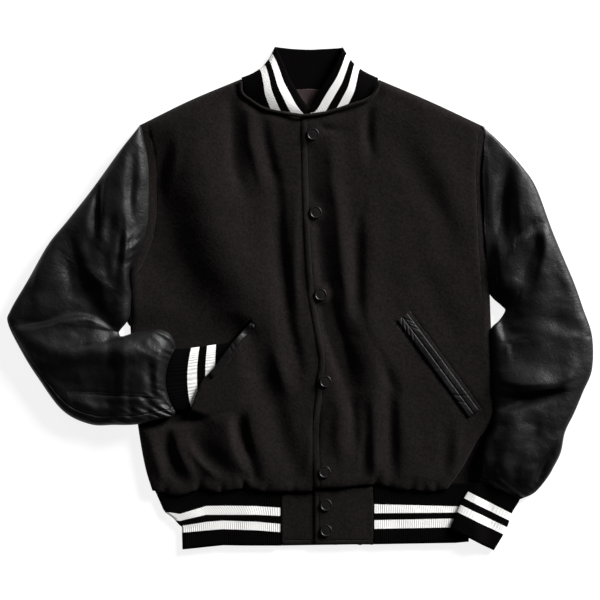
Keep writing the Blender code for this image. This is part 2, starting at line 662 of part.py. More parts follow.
def build_waistband():
    """The rib is one length: it starts at the right tab, folds at each side and ends at the left tab."""
    middle = (BAND_FRONT + BAND_BACK) / 2
    radius = (BAND_FRONT - BAND_BACK) / 2
    downs = [0.0, 0.2, 0.35, 0.5, 0.6, 0.8, 1.0]
    lower = np.array(BAND_BOTTOM)
    right_end, left_end = RIGHT_TAB[0] - SEAM, LEFT_TAB[1] + SEAM
    # Each stop names the place along the loop: the part of it, and the share of that part.
    stops = [("front_right", share) for share in np.linspace(0, 1, 7)]
    stops += [("right_fold", share) for share in (0.25, 0.5, 0.75)]
    stops += [("back", share) for share in np.linspace(0, 1, 15)]
    stops += [("left_fold", share) for share in (0.25, 0.5, 0.75)]
    stops += [("front_left", share) for share in np.linspace(0, 1, 7)]
    rows = []
    for part, share in stops:
        row = []
        for down in downs:
            right, left = band_edges(down)
            right, left = right + radius, left - radius
            turn = math.pi * share
            if part == "front_right":
                x, z = right_end + (right - right_end) * share, BAND_FRONT
            elif part == "right_fold":
                x, z = right - radius * math.sin(turn), middle + radius * math.cos(turn)
            elif part == "back":
                x, z = right + (left - right) * share, BAND_BACK
            elif part == "left_fold":
                x, z = left + radius * math.sin(turn), middle - radius * math.cos(turn)
            else:
                x, z = left + (left_end - left) * share, BAND_FRONT
            bottom = float(np.interp(x, lower[:, 0], lower[:, 1]))
            row.append((x, BAND_TOP + (bottom - BAND_TOP) * down, z))
        rows.append(row)
    sheet("waistband_rib", rows, RIB, "rib_knit", offset=0.0)


def build_tabs():
    """The wool ends of the waistband: the left one laps over the right."""
    right = []
    for x in np.linspace(*RIGHT_TAB, 5):
        right.append([(x, y, RIGHT_TAB_HEIGHT) for y in np.linspace(RIGHT_TAB_TOP, TAB_BOTTOM, 4)])
    sheet("waist_tab_right", right[::-1], WOOL, "wool_melton")
    left = []
    for x in np.linspace(*LEFT_TAB, 6):
        drop = LEFT_TAB_DROP * float(smoothstep((x - RIGHT_TAB[1]) / (LEFT_TAB[1] - RIGHT_TAB[1])))
        top = LEFT_TAB_TOP + LEFT_TAB_RISE * float(smoothstep((x - LEFT_TAB[0]) / (LEFT_TAB[1] - LEFT_TAB[0])))
        left.append([(x, y, LEFT_TAB_HEIGHT - drop) for y in np.linspace(top, TAB_BOTTOM + SEAM, 4)])
    sheet("waist_tab_left", left[::-1], WOOL, "wool_melton")


def pocket_mouth():
    """The right-hand pocket's opening: a narrow gap either side of its line, closed at both ends."""
    path = line(RIGHT_POCKET, ACROSS)
    step = np.gradient(path, axis=0)
    step = step / np.linalg.norm(step, axis=1)[:, None]
    normal = np.stack([-step[:, 1], step[:, 0]], axis=1)[1:-1]
    return np.vstack([path[:1], path[1:-1] + normal * MOUTH, path[-1:], (path[1:-1] - normal * MOUTH)[::-1]])


def build_body():
    side = line(RIGHT_SIDE, ACROSS)
    side = side[side[:, 1] > BACK_HEM_Y + SEAM_TURN]
    back = [BACK_NECK[::-1], RIGHT_SHOULDER, RIGHT_ARMHOLE, [tuple(p) for p in side] + [BACK_RIGHT_CORNER]]
    back += [[BACK_RIGHT_CORNER, BACK_LEFT_SIDE[-1]], BACK_LEFT_SIDE[::-1], LEFT_ARMHOLE[::-1]]
    back += [LEFT_SHOULDER[::-1]]
    panel("back", back, back_height, WOOL, "wool_melton", coarse=BACK_COARSE)
    under_edge = [(x + UNDERLAP, y) for x, y in FRONT_EDGE]
    under_edge[0] = (UNDERLAP, UNDERLAP_TOP_Y)
    under_edge[-1] = (FRONT_EDGE[-1][0] + UNDERLAP, UNDERLAP_HEM_Y)
    right = [RIGHT_SHOULDER, RIGHT_ARMHOLE, RIGHT_SIDE, RIGHT_HEM, [RIGHT_HEM[-1], HEM_STEP]]
    right += [[HEM_STEP, under_edge[-1]], under_edge[::-1], [under_edge[0], RIGHT_NECK[-1]], RIGHT_NECK[::-1]]
    panel("front_right", right, right_front_height, WOOL, "wool_melton", mouth=pocket_mouth())
    left = [LEFT_NECK, LEFT_SHOULDER, LEFT_ARMHOLE, LEFT_SIDE, LEFT_HEM[::-1], FRONT_EDGE[::-1]]
    panel("front_left", left, left_front_height, WOOL, "wool_melton")


def strip(name, path, width, height, thickness, lift, finish):
    """A narrow strip on a panel: made from the panel's points along a line, moved out."""
    centre = line(path, STRIP_SPACING)
    step = np.gradient(centre, axis=0)
    step = step / np.linalg.norm(step, axis=1)[:, None]
    normal = np.stack([-step[:, 1], step[:, 0]], axis=1)
    rows = []
    for place, out in zip(centre, normal):
        across = place + out * np.linspace(-0.5, 0.5, 3)[:, None] * width
        rows.append([(x, y, z + lift + thickness) for (x, y), z in zip(across, height(across))])
    made = sheet(name, rows, thickness, finish)
    if made.data.polygons[0].normal.z < 0:
        made.data.flip_normals()
    return made


def shifted(path, distance):
    """A line moved to its left by a distance."""
    path = np.asarray(path, float)
    step = np.gradient(path, axis=0)
    step = step / np.linalg.norm(step, axis=1)[:, None]
    return path + np.stack([-step[:, 1], step[:, 0]], axis=1) * distance


def build_welts():
    half = WELT_WIDTH / 2
    for name, side in (("welt_left_upper", 1), ("welt_left_lower", -1)):
        path = shifted(LEFT_POCKET, side * (half + SEAM / 2))
        strip(name, path, WELT_WIDTH, left_front_height, WELT_THICKNESS, CLOSED_WELT_LIFT, "sleeve_leather")
    path = shifted(RIGHT_POCKET[:WELT_ROWS], half + MOUTH + OPEN_WELT_BACK)
    strip("welt_right", path, WELT_WIDTH, right_front_height, WELT_THICKNESS, OPEN_WELT_LIFT, "sleeve_leather")


def build_neck():
    edges = [[start, end] for start, end in zip(LINING, LINING[1:] + LINING[:1])]
    panel("back_neck_lining", edges, lining_height, SATIN, "lining_satin")
    points = line(RIGHT_NECK[1:] + LEFT_NECK[1:-1], PIPING_SPACING)
    curve = bpy.data.curves.new("neck_piping", "CURVE")
    curve.dimensions = "3D"
    curve.bevel_depth = PIPING_RADIUS
    curve.bevel_resolution = 1
    curve.use_fill_caps = True
    spline = curve.splines.new("POLY")
    spline.points.add(len(points) - 1)
    for knot, (x, y) in zip(spline.points, points):
        lapped = float(smoothstep(1.0 + (x - FRONT_EDGE[0][0]) / PIPING_SPACING))
        knot.co = (x, y, SEAM_HEIGHT + LAP * lapped + PIPING_LIFT, 1.0)
    obj = bpy.data.objects.new("neck_piping", curve)
    curve.materials.append(material("wool_melton"))
    jacket.objects.link(obj)


def top_of(obj, x, y, reach):
    """The highest point of a solid within a reach of a place, found by looking straight down."""
    graph = bpy.context.evaluated_depsgraph_get()
    tree = BVHTree.FromObject(obj, graph)
    heights = []
    for turn in np.linspace(0, 2 * math.pi, SNAP_ROUND, endpoint=False):
        for share in (0.0, 0.5, 1.0):
            origin = Vector((x + reach * share * math.cos(turn), y + reach * share * math.sin(turn), 1.0))
            hit = tree.ray_cast(origin, Vector((0, 0, -1)))[0]
            heights.append(hit.z if hit else 0.0)
    return max(heights)


def build_snaps():
    """Cap-shaped snap tops: a turned profile with a raised rim."""
    profile = [(0.0, 0.8), (0.72, 0.8), (0.82, 1.0), (1.0, 0.7), (1.0, 0.0), (0.0, 0.0)]
    mesh = bpy.data.meshes.new("snap")
    corners = [(SNAP_RADIUS * out, 0.0, SNAP_HEIGHT * up) for out, up in profile]
    mesh.from_pydata(corners, [(i, i + 1) for i in range(len(corners) - 1)], [])
    mesh.materials.append(material("snap_enamel"))
    bpy.context.view_layer.update()
    for number, (x, y) in enumerate(SNAPS, 1):
        carrier = jacket.objects["front_left" if number <= FRONT_SNAPS else "waist_tab_left"]
        obj = bpy.data.objects.new(f"snap_{number}", mesh)
        jacket.objects.link(obj)
        obj.location = (x, y, top_of(carrier, x, y, SNAP_RADIUS) + SEAT)
        turned = obj.modifiers.new("turned", "SCREW")
        turned.steps = SNAP_ROUND
        turned.render_steps = SNAP_ROUND
        turned.use_merge_vertices = True
        turned.merge_threshold = 0.0001


clear_scene()
jacket = bpy.data.collections.new("varsity_jacket")
bpy.context.scene.collection.children.link(jacket)
build_body()
build_sleeve("right", RIGHT_SLEEVE, RIGHT_ELBOW, RIGHT_ARMHOLE, RIGHT_REST, RIGHT_SLEEVE_FOLDS)
build_sleeve("left", LEFT_SLEEVE, LEFT_ELBOW, LEFT_ARMHOLE, LEFT_REST, LEFT_SLEEVE_FOLDS)
build_cuff("right", RIGHT_CUFF, RIGHT_REST)
build_cuff("left", LEFT_CUFF, LEFT_REST)
build_collar()
build_waistband()
build_tabs()
build_welts()
build_neck()
build_snaps()
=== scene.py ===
"""A varsity jacket laid face up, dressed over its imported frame. Metres, +Z up, +Y to the collar."""

import math
from collections import namedtuple

import bmesh
import bpy
import numpy as np
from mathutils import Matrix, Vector, noise
from mathutils.bvhtree import BVHTree
from mathutils.geometry import delaunay_2d_cdt


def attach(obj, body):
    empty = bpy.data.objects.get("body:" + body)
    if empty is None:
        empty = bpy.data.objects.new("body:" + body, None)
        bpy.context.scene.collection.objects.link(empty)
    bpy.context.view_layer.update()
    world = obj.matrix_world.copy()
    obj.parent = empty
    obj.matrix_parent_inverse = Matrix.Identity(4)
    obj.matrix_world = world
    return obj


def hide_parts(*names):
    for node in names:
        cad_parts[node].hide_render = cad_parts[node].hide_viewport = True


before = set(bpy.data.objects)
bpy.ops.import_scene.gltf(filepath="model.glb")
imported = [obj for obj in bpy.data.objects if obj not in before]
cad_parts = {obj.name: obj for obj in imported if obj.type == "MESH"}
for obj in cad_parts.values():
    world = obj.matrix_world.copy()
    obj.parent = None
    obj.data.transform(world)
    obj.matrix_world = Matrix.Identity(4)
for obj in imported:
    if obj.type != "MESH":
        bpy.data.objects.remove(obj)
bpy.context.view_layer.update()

# -----------------------------------------------------------------------------------------------------------
# The table under the jacket: matt white acrylic with an even glow from below, as a light table has, so that
# shadows on it stay pale. Two soft boxes stand low past the collar end, the stronger on the left arm's side,
# and the camera looks straight down on a long lens so that the cut isn't foreshortened.
# -----------------------------------------------------------------------------------------------------------
TABLE_SIDE = 6.0
BOARD_TONE = "#8e8e8e"
BOARD_PALE = "#949494"
TABLE_DROP = 0.0004
CAMERA_HEIGHT = 9.0
FRAME_WIDTH = 0.870
SENSOR = 36.0
ROOM_LIGHT = 0.022
BOARD_GLOW = 0.86
SoftBox = namedtuple("SoftBox", "name place size power")
SOFT_BOXES = [
    SoftBox("key", (4.26, 3.57, 2.15), 2.40, 1050.0),
    SoftBox("fill", (-2.40, 4.60, 3.20), 2.40, 40.0),
]


def linear(colour):
    """An sRGB hex colour as linear red, green, blue and alpha."""
    parts = [int(colour[at:at + 2], 16) / 255 for at in (1, 3, 5)]
    return (*[part / 12.92 if part <= 0.04045 else ((part + 0.055) / 1.055) ** 2.4 for part in parts], 1.0)


def node(tree, kind, inputs=None, **settings):
    """Adds a shader node with its settings. An input takes a plain value, or the socket that feeds it."""
    made = tree.nodes.new(kind)
    for name, value in settings.items():
        setattr(made, name, value)
    for name, value in (inputs or {}).items():
        if isinstance(value, bpy.types.NodeSocket):
            tree.links.new(value, made.inputs[name])
        else:
            made.inputs[name].default_value = value
    return made


def new_material(name):
    """An empty material's tree and its output, ready for a shader."""
    made = bpy.data.materials.new(name)
    made.use_nodes = True
    made.node_tree.nodes.clear()
    return made, made.node_tree, node(made.node_tree, "ShaderNodeOutputMaterial")


def opal_acrylic():
    """Opal acrylic, matt on top and lit evenly from below, a little duller in broad patches."""
    made, tree, out = new_material("opal_acrylic")
    patches = node(tree, "ShaderNodeTexNoise", {"Scale": 1.5, "Detail": 2.0})
    tone = node(tree, "ShaderNodeMix",
                {0: patches.outputs["Fac"], 6: linear(BOARD_TONE), 7: linear(BOARD_PALE)},
                data_type="RGBA")
    shader = node(tree, "ShaderNodeBsdfPrincipled", {
        "Base Color": tone.outputs[2], "Roughness": 0.9, "Emission Color": (1.0, 1.0, 1.0, 1.0),
        "Emission Strength": BOARD_GLOW,
    })
    tree.links.new(shader.outputs[0], out.inputs[0])
    return made


def look_at(obj, target):
    obj.rotation_mode = "QUATERNION"
    obj.rotation_quaternion = (Vector(target) - obj.location).to_track_quat("-Z", "Y")


table_mesh = bpy.data.meshes.new("table")
half_table = TABLE_SIDE / 2
table_mesh.from_pydata(
    [(x * half_table, y * half_table, -TABLE_DROP) for x, y in ((-1, -1), (1, -1), (1, 1), (-1, 1))], [],
    [(0, 1, 2, 3)]
)
table = bpy.data.objects.new("table", table_mesh)
table_mesh.materials.append(opal_acrylic())
bpy.context.scene.collection.objects.link(table)

for box in SOFT_BOXES:
    lamp = bpy.data.lights.new(box.name, "AREA")
    lamp.shape = "SQUARE"
    lamp.size = box.size
    lamp.energy = box.power
    light = bpy.data.objects.new(box.name, lamp)
    bpy.context.scene.collection.objects.link(light)
    light.location = box.place
    look_at(light, (0, 0, 0))

room = bpy.data.worlds.new("room")
bpy.context.scene.world = room
room.use_nodes = True
room.node_tree.nodes["Background"].inputs["Color"].default_value = (1.0, 1.0, 1.0, 1.0)
room.node_tree.nodes["Background"].inputs["Strength"].default_value = ROOM_LIGHT

lens = bpy.data.cameras.new("camera")
lens.sensor_width = SENSOR
lens.lens = SENSOR * CAMERA_HEIGHT / FRAME_WIDTH
lens.clip_end = 2 * CAMERA_HEIGHT
camera = bpy.data.objects.new("camera", lens)
camera.location = (0.0, 0.0, CAMERA_HEIGHT)
bpy.context.scene.collection.objects.link(camera)
bpy.context.scene.camera = camera
bpy.context.scene.view_settings.view_transform = "Standard"

# -----------------------------------------------------------------------------------------------------------
# The body: a back and two fronts cut from 24 oz black melton, a woollen cloth fulled until its weave is
# hidden under a short nap. The left front laps over the right one, and its edge is topstitched. So are the
# armholes, on the wool side, and the hem is gathered a little into the rib below it.
# -----------------------------------------------------------------------------------------------------------
WOOL = 0.0024
CROWN = 0.0145
SIDE_EDGE = 0.0050
HEM_EDGE = 0.0102
HEM_RISE_Y = -0.235
HEM_RISE = 0.025
SEAM_HEIGHT = 0.0110
LOWEST = 2 * WOOL + 0.0008
TROUGH_SOFTNESS = 0.0006
LAP = WOOL + 0.0004
LAP_CLEAR = 0.006
LAP_SLOPE = 0.030
EDGE_ROUND = 0.011
SEAM_DIP = 0.016
FOLD_FADE = 0.022
PRESSED = 0.0080
PRESS_CLEAR = 0.004
PRESS_SLOPE = 0.014
PRESS_SLOPE_ABOVE = 0.040
ARM_MIDDLE_Y = -0.110
POCKET_COVER = 0.0205
COVER_CLEAR = 0.006
COVER_SLOPE = 0.030
COVER_ENDS = (0.16, 0.10)
CLOTH_STEP = 0.0036
EDGE_RINGS = (0.0009, 0.0022, 0.0045)
# Rows of a triangular mesh stand this share of its step apart, and points nearer than this are merged.
TRIANGLE_ROWS = 0.87
MERGE = 1e-6
FOLD_STEP = 0.008
PINCH_START = 0.004
PINCH_WIDTH = 0.0035
PINCH_WIDENS = 0.004
GROOVE_ROWS = (-0.0022, -0.0010, 0.0, 0.0010, 0.0022)
GROOVE_DEPTH = 0.0009
GROOVE_WIDTH = 0.0011
# Rumples: how wide the lumps are, how deep they go, and which part of the noise they come from.
BODY_SOFT = (0.035, 0.0011, 3.7)
BODY_FINE = (0.012, 0.0003, 8.2)

RIGHT_SHOULDER = [(-0.086, 0.320), (-0.160, 0.289), (-0.233, 0.253)]
LEFT_SHOULDER = [(0.115, 0.319), (0.188, 0.288), (0.265, 0.252)]
RIGHT_NECK = [
    (-0.086, 0.320), (-0.084, 0.300), (-0.070, 0.288), (-0.051, 0.277), (-0.025, 0.271), (0.001, 0.267),
]
LEFT_NECK = [(0.001, 0.267), (0.033, 0.270), (0.070, 0.281), (0.097, 0.290), (0.110, 0.302), (0.115, 0.319)]
BACK_NECK = [(-0.086, 0.320), (-0.036, 0.306), (0.012, 0.303), (0.065, 0.306), (0.115, 0.319)]
RIGHT_ARMHOLE = [
    (-0.233, 0.253), (-0.222, 0.206), (-0.220, 0.160), (-0.223, 0.102), (-0.238, 0.060), (-0.249, 0.044),
]
LEFT_ARMHOLE = [(0.265, 0.252), (0.269, 0.240), (0.266, 0.180), (0.269, 0.100), (0.271, 0.060),
                (0.275, 0.010)]
RIGHT_SIDE = [
    (-0.249, 0.044), (-0.246, -0.036), (-0.242, -0.116), (-0.235, -0.181), (-0.225, -0.239),
    (-0.214, -0.276),
]
LEFT_SIDE_UPPER = [(0.275, 0.010), (0.277, -0.041), (0.281, -0.116), (0.282, -0.168)]
LEFT_SIDE = LEFT_SIDE_UPPER + [(0.256, -0.206), (0.236, -0.242), (0.213, -0.274)]
BACK_LEFT_SIDE = LEFT_SIDE_UPPER + [(0.280, -0.203), (0.277, -0.238), (0.265, -0.2672)]
RIGHT_HEM = [
    (-0.214, -0.276), (-0.174, -0.283), (-0.144, -0.274), (-0.118, -0.279), (-0.080, -0.273),
    (-0.050, -0.278), (0.016, -0.278),
]
LEFT_HEM = [(0.020, -0.273), (0.060, -0.272), (0.109, -0.268), (0.140, -0.274), (0.190, -0.278),
            (0.213, -0.274)]
BACK_HEM_Y = -0.267
BACK_BULGE = 0.0045
BACK_BULGE_Y = -0.039
BACK_BULGE_RUN = 0.006
BACK_SIDE_END = 0.004
BACK_EDGE_FLAT = 0.03
BACK_RIGHT_CORNER = (-0.2165, BACK_HEM_Y)
FRONT_EDGE = [
    (0.001, 0.267), (0.004, 0.135), (0.010, 0.023), (0.024, -0.064), (0.027, -0.097), (0.019, -0.180),
    (0.020, -0.273),
]
UNDERLAP = 0.032
UNDERLAP_TOP_Y = 0.2685
UNDERLAP_HEM_Y = -0.2715
HEM_STEP = (0.019, -0.2725)
TOPSTITCH_FROM_EDGE = 0.0085
TOPSTITCH_FROM_ARMHOLE = 0.0120
TOPSTITCH_FROM_CLOSED_POCKET = 0.0136
TOPSTITCH_FROM_OPEN_POCKET = 0.0157

FRONT_EDGE_DROP = 0.0022
FRONT_EDGE_TURN = 0.0055
SNAP_RADIUS = 0.0085
SNAP_PRESS = 0.011
FRONT_SNAPS = [(0.019, 0.240), (0.023, 0.127), (0.030, 0.008), (0.037, -0.118), (0.036, -0.249)]

RIGHT_POCKET = [
    (-0.070, -0.028), (-0.100, -0.061), (-0.126, -0.097), (-0.143, -0.116), (-0.157, -0.149),
    (-0.166, -0.172),
]
LEFT_POCKET = [(0.148, -0.024), (0.200, -0.094), (0.252, -0.165)]
MOUTH = 0.0016
ARM_ON_BODY = [
    (-0.320, -0.060), (-0.190, -0.040), (-0.176, -0.064), (-0.100, -0.058), (-0.098, -0.148),
    (-0.176, -0.170), (-0.320, -0.185),
]
CUFF_IN_POCKET = [(-0.172, -0.068), (-0.098, -0.059), (-0.096, -0.147), (-0.172, -0.162)]

# A fold follows its path, reaches so far to its left and right, and rises so much (or sinks, below zero).
Fold = namedtuple("Fold", "path left right height")
BODY_FOLDS = [
    # Right front, from the collar down.
    Fold([
        (-0.157, 0.273), (-0.152, 0.217), (-0.143, 0.174), (-0.131, 0.133), (-0.124, 0.099),
        (-0.110, 0.064), (-0.089, 0.029), (-0.067, -0.006), (-0.046, -0.049)
    ], 0.052, 0.058, 0.0135),
    Fold([
        (-0.215, 0.215), (-0.213, 0.174), (-0.204, 0.133), (-0.197, 0.099), (-0.183, 0.064),
        (-0.163, 0.029), (-0.141, -0.006), (-0.120, -0.030)
    ], 0.046, 0.070, -0.0115),
    Fold([
        (-0.098, 0.293), (-0.097, 0.254), (-0.095, 0.217), (-0.092, 0.186), (-0.083, 0.155)
    ], 0.017, 0.014, -0.0085),
    Fold([(-0.074, 0.273), (-0.072, 0.232), (-0.065, 0.203), (-0.055, 0.165)], 0.012, 0.008, 0.0041),
    Fold([(-0.055, 0.267), (-0.051, 0.238), (-0.043, 0.203), (-0.035, 0.174)], 0.010, 0.012, -0.0054),
    Fold([
        (-0.035, 0.180), (-0.030, 0.133), (-0.029, 0.099), (-0.026, 0.064), (-0.022, 0.029),
        (-0.019, -0.006), (-0.014, -0.041), (-0.007, -0.070), (-0.001, -0.104)
    ], 0.010, 0.020, -0.0085),
    Fold([(-0.006, 0.151), (-0.006, 0.099), (-0.006, 0.029), (0.000, -0.017)], 0.006, 0.008, 0.0027),
    Fold([
        (-0.061, -0.055), (-0.055, -0.081), (-0.049, -0.110), (-0.043, -0.136), (-0.036, -0.159),
        (-0.030, -0.180), (-0.025, -0.203), (-0.017, -0.226), (-0.006, -0.252)
    ], 0.020, 0.022, -0.0068),
    Fold([(-0.035, -0.072), (-0.029, -0.104), (-0.020, -0.133)], 0.014, 0.010, 0.0041),
    Fold([
        (-0.083, -0.110), (-0.096, -0.136), (-0.103, -0.162), (-0.103, -0.191), (-0.097, -0.220),
        (-0.083, -0.247)
    ], 0.008, 0.030, 0.0098),
    Fold([
        (-0.086, -0.142), (-0.087, -0.167), (-0.086, -0.189), (-0.078, -0.212), (-0.068, -0.235),
        (-0.064, -0.267)
    ], 0.013, 0.009, -0.0070),
    Fold([(-0.159, -0.213), (-0.145, -0.235), (-0.123, -0.254)], 0.007, 0.006, 0.0040),
    Fold([(-0.075, -0.159), (-0.070, -0.191), (-0.064, -0.226), (-0.055, -0.261)], 0.024, 0.009, 0.0041),
    Fold([(-0.220, -0.189), (-0.215, -0.215), (-0.207, -0.238), (-0.200, -0.264)], 0.012, 0.012, 0.0061),
    Fold([(-0.194, -0.191), (-0.191, -0.215), (-0.183, -0.241), (-0.171, -0.264)], 0.010, 0.010, -0.0045),
    Fold([(-0.181, -0.189), (-0.177, -0.212), (-0.167, -0.235), (-0.154, -0.258)], 0.022, 0.008, 0.0054),
    Fold([(-0.154, -0.194), (-0.142, -0.217), (-0.122, -0.235), (-0.099, -0.252)], 0.018, 0.012, -0.0050),
    Fold([(-0.193, 0.217), (-0.203, 0.174), (-0.206, 0.136)], 0.012, 0.008, -0.0041),
    Fold([(-0.177, 0.241), (-0.180, 0.206), (-0.189, 0.165)], 0.010, 0.012, 0.0022),
    # Left front, from the collar down.
    Fold([
        (0.013, 0.217), (0.016, 0.174), (0.020, 0.145), (0.027, 0.106), (0.032, 0.064), (0.035, 0.029),
        (0.038, -0.006), (0.044, -0.036), (0.053, -0.065), (0.063, -0.090), (0.072, -0.116),
        (0.074, -0.151)
    ], 0.019, 0.013, -0.0086),
    Fold([
        (0.034, 0.005), (0.040, -0.030), (0.050, -0.062), (0.063, -0.095), (0.070, -0.140)
    ], 0.036, 0.016, -0.0105),
    Fold([
        (0.072, -0.009), (0.083, -0.041), (0.093, -0.072), (0.097, -0.104), (0.091, -0.139), (0.087, -0.174)
    ], 0.050, 0.034, 0.0095),
    Fold([(0.022, 0.251), (0.040, 0.247), (0.064, 0.245)], 0.008, 0.008, -0.0036),
    Fold([
        (0.046, 0.217), (0.049, 0.168), (0.055, 0.133), (0.058, 0.099), (0.061, 0.064), (0.065, 0.029),
        (0.071, -0.006), (0.081, -0.038)
    ], 0.016, 0.010, 0.0054),
    Fold([
        (0.083, 0.110), (0.082, 0.075), (0.082, 0.040), (0.081, 0.000), (0.077, -0.046)
    ], 0.016, 0.013, -0.0066),
    Fold([
        (0.096, 0.125), (0.096, 0.072), (0.096, 0.014), (0.101, -0.029), (0.116, -0.064)
    ], 0.030, 0.008, 0.0034),
    Fold([(0.101, 0.278), (0.099, 0.255), (0.100, 0.232), (0.102, 0.209)], 0.009, 0.010, -0.0061),
    Fold([
        (0.148, 0.232), (0.157, 0.200), (0.174, 0.168), (0.197, 0.136), (0.212, 0.104), (0.220, 0.072)
    ], 0.022, 0.022, -0.0035),
    Fold([(0.180, 0.261), (0.200, 0.203), (0.220, 0.151), (0.235, 0.099)], 0.030, 0.022, 0.0041),
    Fold([(0.174, 0.046), (0.197, 0.000), (0.220, -0.043), (0.235, -0.075)], 0.024, 0.020, -0.0022),
    Fold([(0.058, -0.145), (0.057, -0.174), (0.055, -0.203), (0.058, -0.222)], 0.014, 0.012, 0.0048),
    Fold([(0.037, -0.138), (0.030, -0.160), (0.022, -0.190), (0.021, -0.222)], 0.010, 0.008, -0.0044),
    Fold([(0.075, -0.148), (0.077, -0.174), (0.079, -0.197), (0.078, -0.212)], 0.012, 0.010, -0.0048),
    Fold([(0.098, -0.160), (0.100, -0.188), (0.097, -0.219), (0.092, -0.255)], 0.010, 0.010, -0.0048),
    Fold([(0.106, -0.139), (0.104, -0.174), (0.106, -0.215), (0.110, -0.264)], 0.012, 0.008, 0.0049),
    Fold([(0.126, -0.112), (0.131, -0.151), (0.134, -0.203), (0.134, -0.258)], 0.012, 0.012, -0.0060),
    Fold([(0.145, -0.145), (0.145, -0.203), (0.148, -0.264)], 0.040, 0.010, 0.0032),
    Fold([(0.119, -0.087), (0.128, -0.110), (0.139, -0.133)], 0.010, 0.010, -0.0035),
    Fold([(0.017, -0.189), (0.016, -0.217), (0.009, -0.246)], 0.010, 0.008, 0.0027),
    Fold([(0.212, -0.189), (0.212, -0.232), (0.217, -0.267)], 0.014, 0.014, -0.0032),
    Fold([(0.229, -0.189), (0.226, -0.226), (0.217, -0.258)], 0.010, 0.012, 0.0032),
]
# Short pinches where the hem is gathered: place along the hem, how far each runs up, and its depth.
Pinch = namedtuple("Pinch", "x y run lean depth")
PINCHES = [
    Pinch(-0.146, -0.271, 0.022, 0.10, -0.0050),
    Pinch(-0.112, -0.273, 0.014, -0.30, -0.0030),
    Pinch(-0.080, -0.270, 0.024, -0.15, -0.0052),
    Pinch(-0.196, -0.276, 0.016, 0.20, -0.0034),
    Pinch(-0.048, -0.273, 0.014, 0.15, -0.0022),
    Pinch(-0.010, -0.274, 0.018, 0.05, -0.0020),
    Pinch(0.109, -0.266, 0.020, 0.35, -0.0050),
    Pinch(0.132, -0.271, 0.014, -0.20, -0.0028),
    Pinch(0.161, -0.273, 0.018, 0.25, -0.0034),
    Pinch(0.181, -0.275, 0.014, -0.25, -0.0026),
    Pinch(0.198, -0.275, 0.016, -0.10, -0.0034),
]
BACK_FOLDS = [
    Fold([(-0.150, 0.240), (-0.140, 0.050), (-0.150, -0.150)], 0.016, 0.016, 0.0026),
    Fold([(-0.060, 0.260), (-0.070, 0.060), (-0.040, -0.180)], 0.014, 0.020, 0.0030),
    Fold([(0.030, 0.250), (0.020, 0.020), (0.035, -0.200)], 0.018, 0.012, 0.0024),
    Fold([(0.120, 0.240), (0.140, 0.040), (0.120, -0.160)], 0.014, 0.014, 0.0030),
    Fold([(0.210, 0.180), (0.200, -0.020), (0.225, -0.190)], 0.012, 0.016, 0.0022),
    Fold([(-0.200, 0.040), (-0.190, -0.060), (-0.196, -0.200)], 0.012, 0.012, 0.0020),
]


def smoothstep(value):
    value = np.clip(value, 0.0, 1.0)
    return value * value * (3.0 - 2.0 * value)


def through(rows, place):
    """A row read at a place between the table's rows, on a smooth curve through them."""
    rows = np.asarray(rows, float)
    last = len(rows) - 1
    first = int(min(max(math.floor(place), 0), last - 1)) if last else 0
    part = place - first
    before, start, end, after = (rows[min(max(first + step, 0), last)] for step in (-1, 0, 1, 2))
    leave = (end - before) / 2 if first > 0 else end - start
    arrive = (after - start) / 2 if first < last - 1 else end - start
    square, cube = part**2, part**3
    return (
        (2 * cube - 3 * square + 1) * start
        + (cube - 2 * square + part) * leave
        + (3 * square - 2 * cube) * end
        + (cube - square) * arrive
    )


def line(points, spacing, measured=None):
    """Points spaced evenly along a smooth line through these, by distance in their first few columns."""
    fine = np.array([through(points, place) for place in np.linspace(0, len(points) - 1, 12 * len(points))])
    run = np.concatenate([[0], np.cumsum(np.linalg.norm(np.diff(fine[:, :measured], axis=0), axis=1))])
    at = np.linspace(0, run[-1], max(1, round(run[-1] / spacing)) + 1)
    return np.stack([np.interp(at, run, fine[:, axis]) for axis in range(fine.shape[1])], axis=1)


def to_line(points, path):
    """Each point's distance to a line, the share of the line run at its nearest place, and its side."""
    points, path = np.asarray(points, float)[:, None, :], np.asarray(path, float)
    start, step = path[:-1], np.diff(path, axis=0)
    length = np.linalg.norm(step, axis=1)
    run = np.concatenate([[0], np.cumsum(length)])
    share = np.clip(((points - start) * step).sum(2) / length**2, 0, 1)
    offset = points - (start + share[..., None] * step)
    gaps = np.linalg.norm(offset, axis=2)
    nearest = gaps.argmin(axis=1)
    row = np.arange(len(nearest))
    side = step[nearest, 0] * offset[row, nearest, 1] - step[nearest, 1] * offset[row, nearest, 0]
    place = (run[nearest] + share[row, nearest] * length[nearest]) / run[-1]
    return gaps[row, nearest], place, np.sign(side)


def inside(points, outline):
    """Which points lie inside a closed outline."""
    points, outline = np.asarray(points, float), np.asarray(outline, float)
    found = np.zeros(len(points), bool)
    for (ax, ay), (bx, by) in zip(outline, np.roll(outline, -1, axis=0)):
        crosses = (ay > points[:, 1]) != (by > points[:, 1])
        with np.errstate(divide="ignore", invalid="ignore"):
            at = (bx - ax) * (points[:, 1] - ay) / (by - ay) + ax
        found ^= crosses & (points[:, 0] < at)
    return found


def outside_by(points, outline):
    """How far each point lies outside a closed outline, zero within it."""
    return np.where(inside(points, outline), 0.0, to_line(points, list(outline) + [outline[0]])[0])


def shifted(path, distance):
    """A line moved to its left by a distance."""
    path = np.asarray(path, float)
    step = np.gradient(path, axis=0)
    step = step / np.linalg.norm(step, axis=1)[:, None]
    return path + np.stack([-step[:, 1], step[:, 0]], axis=1) * distance


